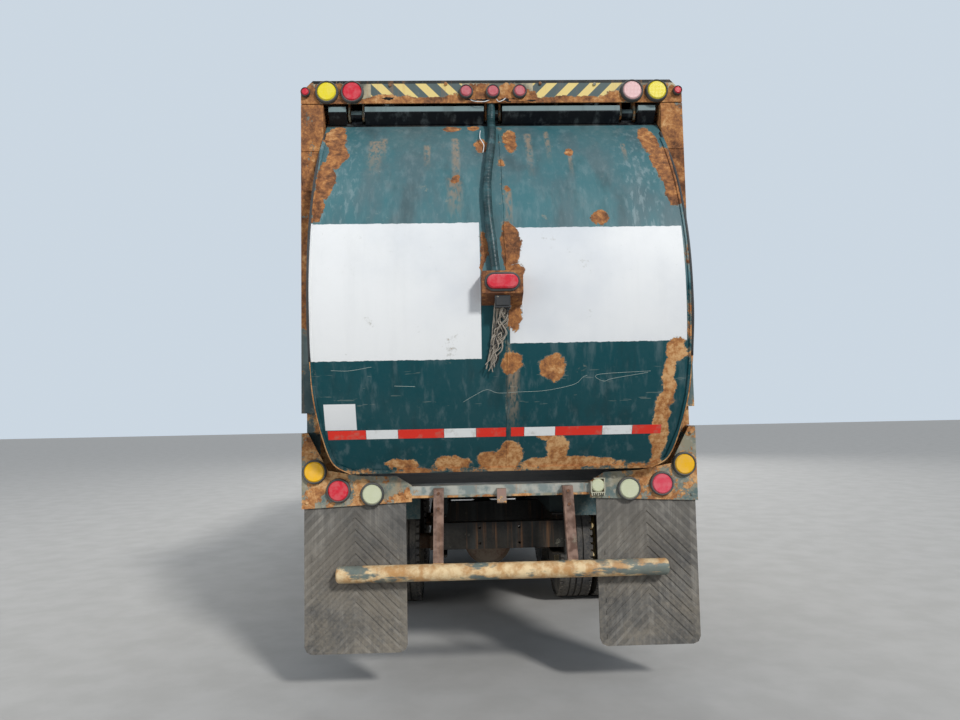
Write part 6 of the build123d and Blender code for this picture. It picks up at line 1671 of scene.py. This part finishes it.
def arc_points(ends, steps):
    """Points of the circle through three (x, z) places."""
    (x1, z1), (x2, z2), (x3, z3) = ends
    d = 2 * (x1 * (z2 - z3) + x2 * (z3 - z1) + x3 * (z1 - z2))
    q1, q2, q3 = x1 * x1 + z1 * z1, x2 * x2 + z2 * z2, x3 * x3 + z3 * z3
    cx = (q1 * (z2 - z3) + q2 * (z3 - z1) + q3 * (z1 - z2)) / d
    cz = (q1 * (x3 - x2) + q2 * (x1 - x3) + q3 * (x2 - x1)) / d
    radius = hypot(x1 - cx, z1 - cz)
    first, last = atan2(z1 - cz, x1 - cx), atan2(z3 - cz, x3 - cx)
    turns = [first + (last - first) * step / steps for step in range(steps + 1)]
    return [(cx + radius * cos(turn), cz + radius * sin(turn)) for turn in turns]


class BodySeams(bpy.types.Operator):
    """Runs the sheet seams round the load body and strips along its eaves"""
    bl_idname = "truck.body_seams"
    bl_label = "Body Seams"

    def execute(self, context):
        mesh = bmesh.new()
        for station in SEAM_STATIONS:
            y = POST_Y + station
            for side in (-1, 1):
                tube(mesh, [(side * x, y, z) for x, z in arc_points(BODY_ARC, 24)], SEAM_RADIUS, 6)
            tube(mesh, [(x, y, z) for x, z in arc_points(ROOF_ARC, 20)], SEAM_RADIUS, 6)
        eave_x, eave_z = ROOF_ARC[0]
        for x in (-eave_x, eave_x):
            tube(mesh, [(x, POST_Y + 0.43, eave_z), (x, POST_Y + 4.598, eave_z)], 0.012, 8)
        keep(mesh, "body_seams", "body_paint", "chassis", smooth=True)
        return {"FINISHED"}


OPERATORS = (Finish, Tape, Welds, Grommets, LampDetail, GateEdges, Bolts, Conduit, Wires, TornMetal, Tyres,
             Seats, CabTrim, BodySeams, Stage)


class Sidebar(bpy.types.Panel):
    """Lists the truck's operators and settings"""
    bl_idname = "VIEW3D_PT_truck"
    bl_label = "Garbage Truck"
    bl_space_type = "VIEW_3D"
    bl_region_type = "UI"
    bl_category = "Truck"

    def draw(self, context):
        for operator in OPERATORS:
            self.layout.operator(operator.bl_idname)
        for group in (context.scene.truck_colours, context.scene.truck_sizes):
            for name in group.bl_rna.properties.keys():
                if name not in ("rna_type", "name"):
                    self.layout.prop(group, name)


CLASSES = (TruckColours, TruckSizes, *OPERATORS, Sidebar)


def register():
    for item in CLASSES:
        bpy.utils.register_class(item)
    bpy.types.Scene.truck_colours = PointerProperty(type=TruckColours)
    bpy.types.Scene.truck_sizes = PointerProperty(type=TruckSizes)


def unregister():
    del bpy.types.Scene.truck_sizes
    del bpy.types.Scene.truck_colours
    for item in reversed(CLASSES):
        bpy.utils.unregister_class(item)


def main():
    register()
    for operator in OPERATORS:
        group, name = operator.bl_idname.split(".")
        getattr(getattr(bpy.ops, group), name)()


if __name__ == "__main__":
    main()
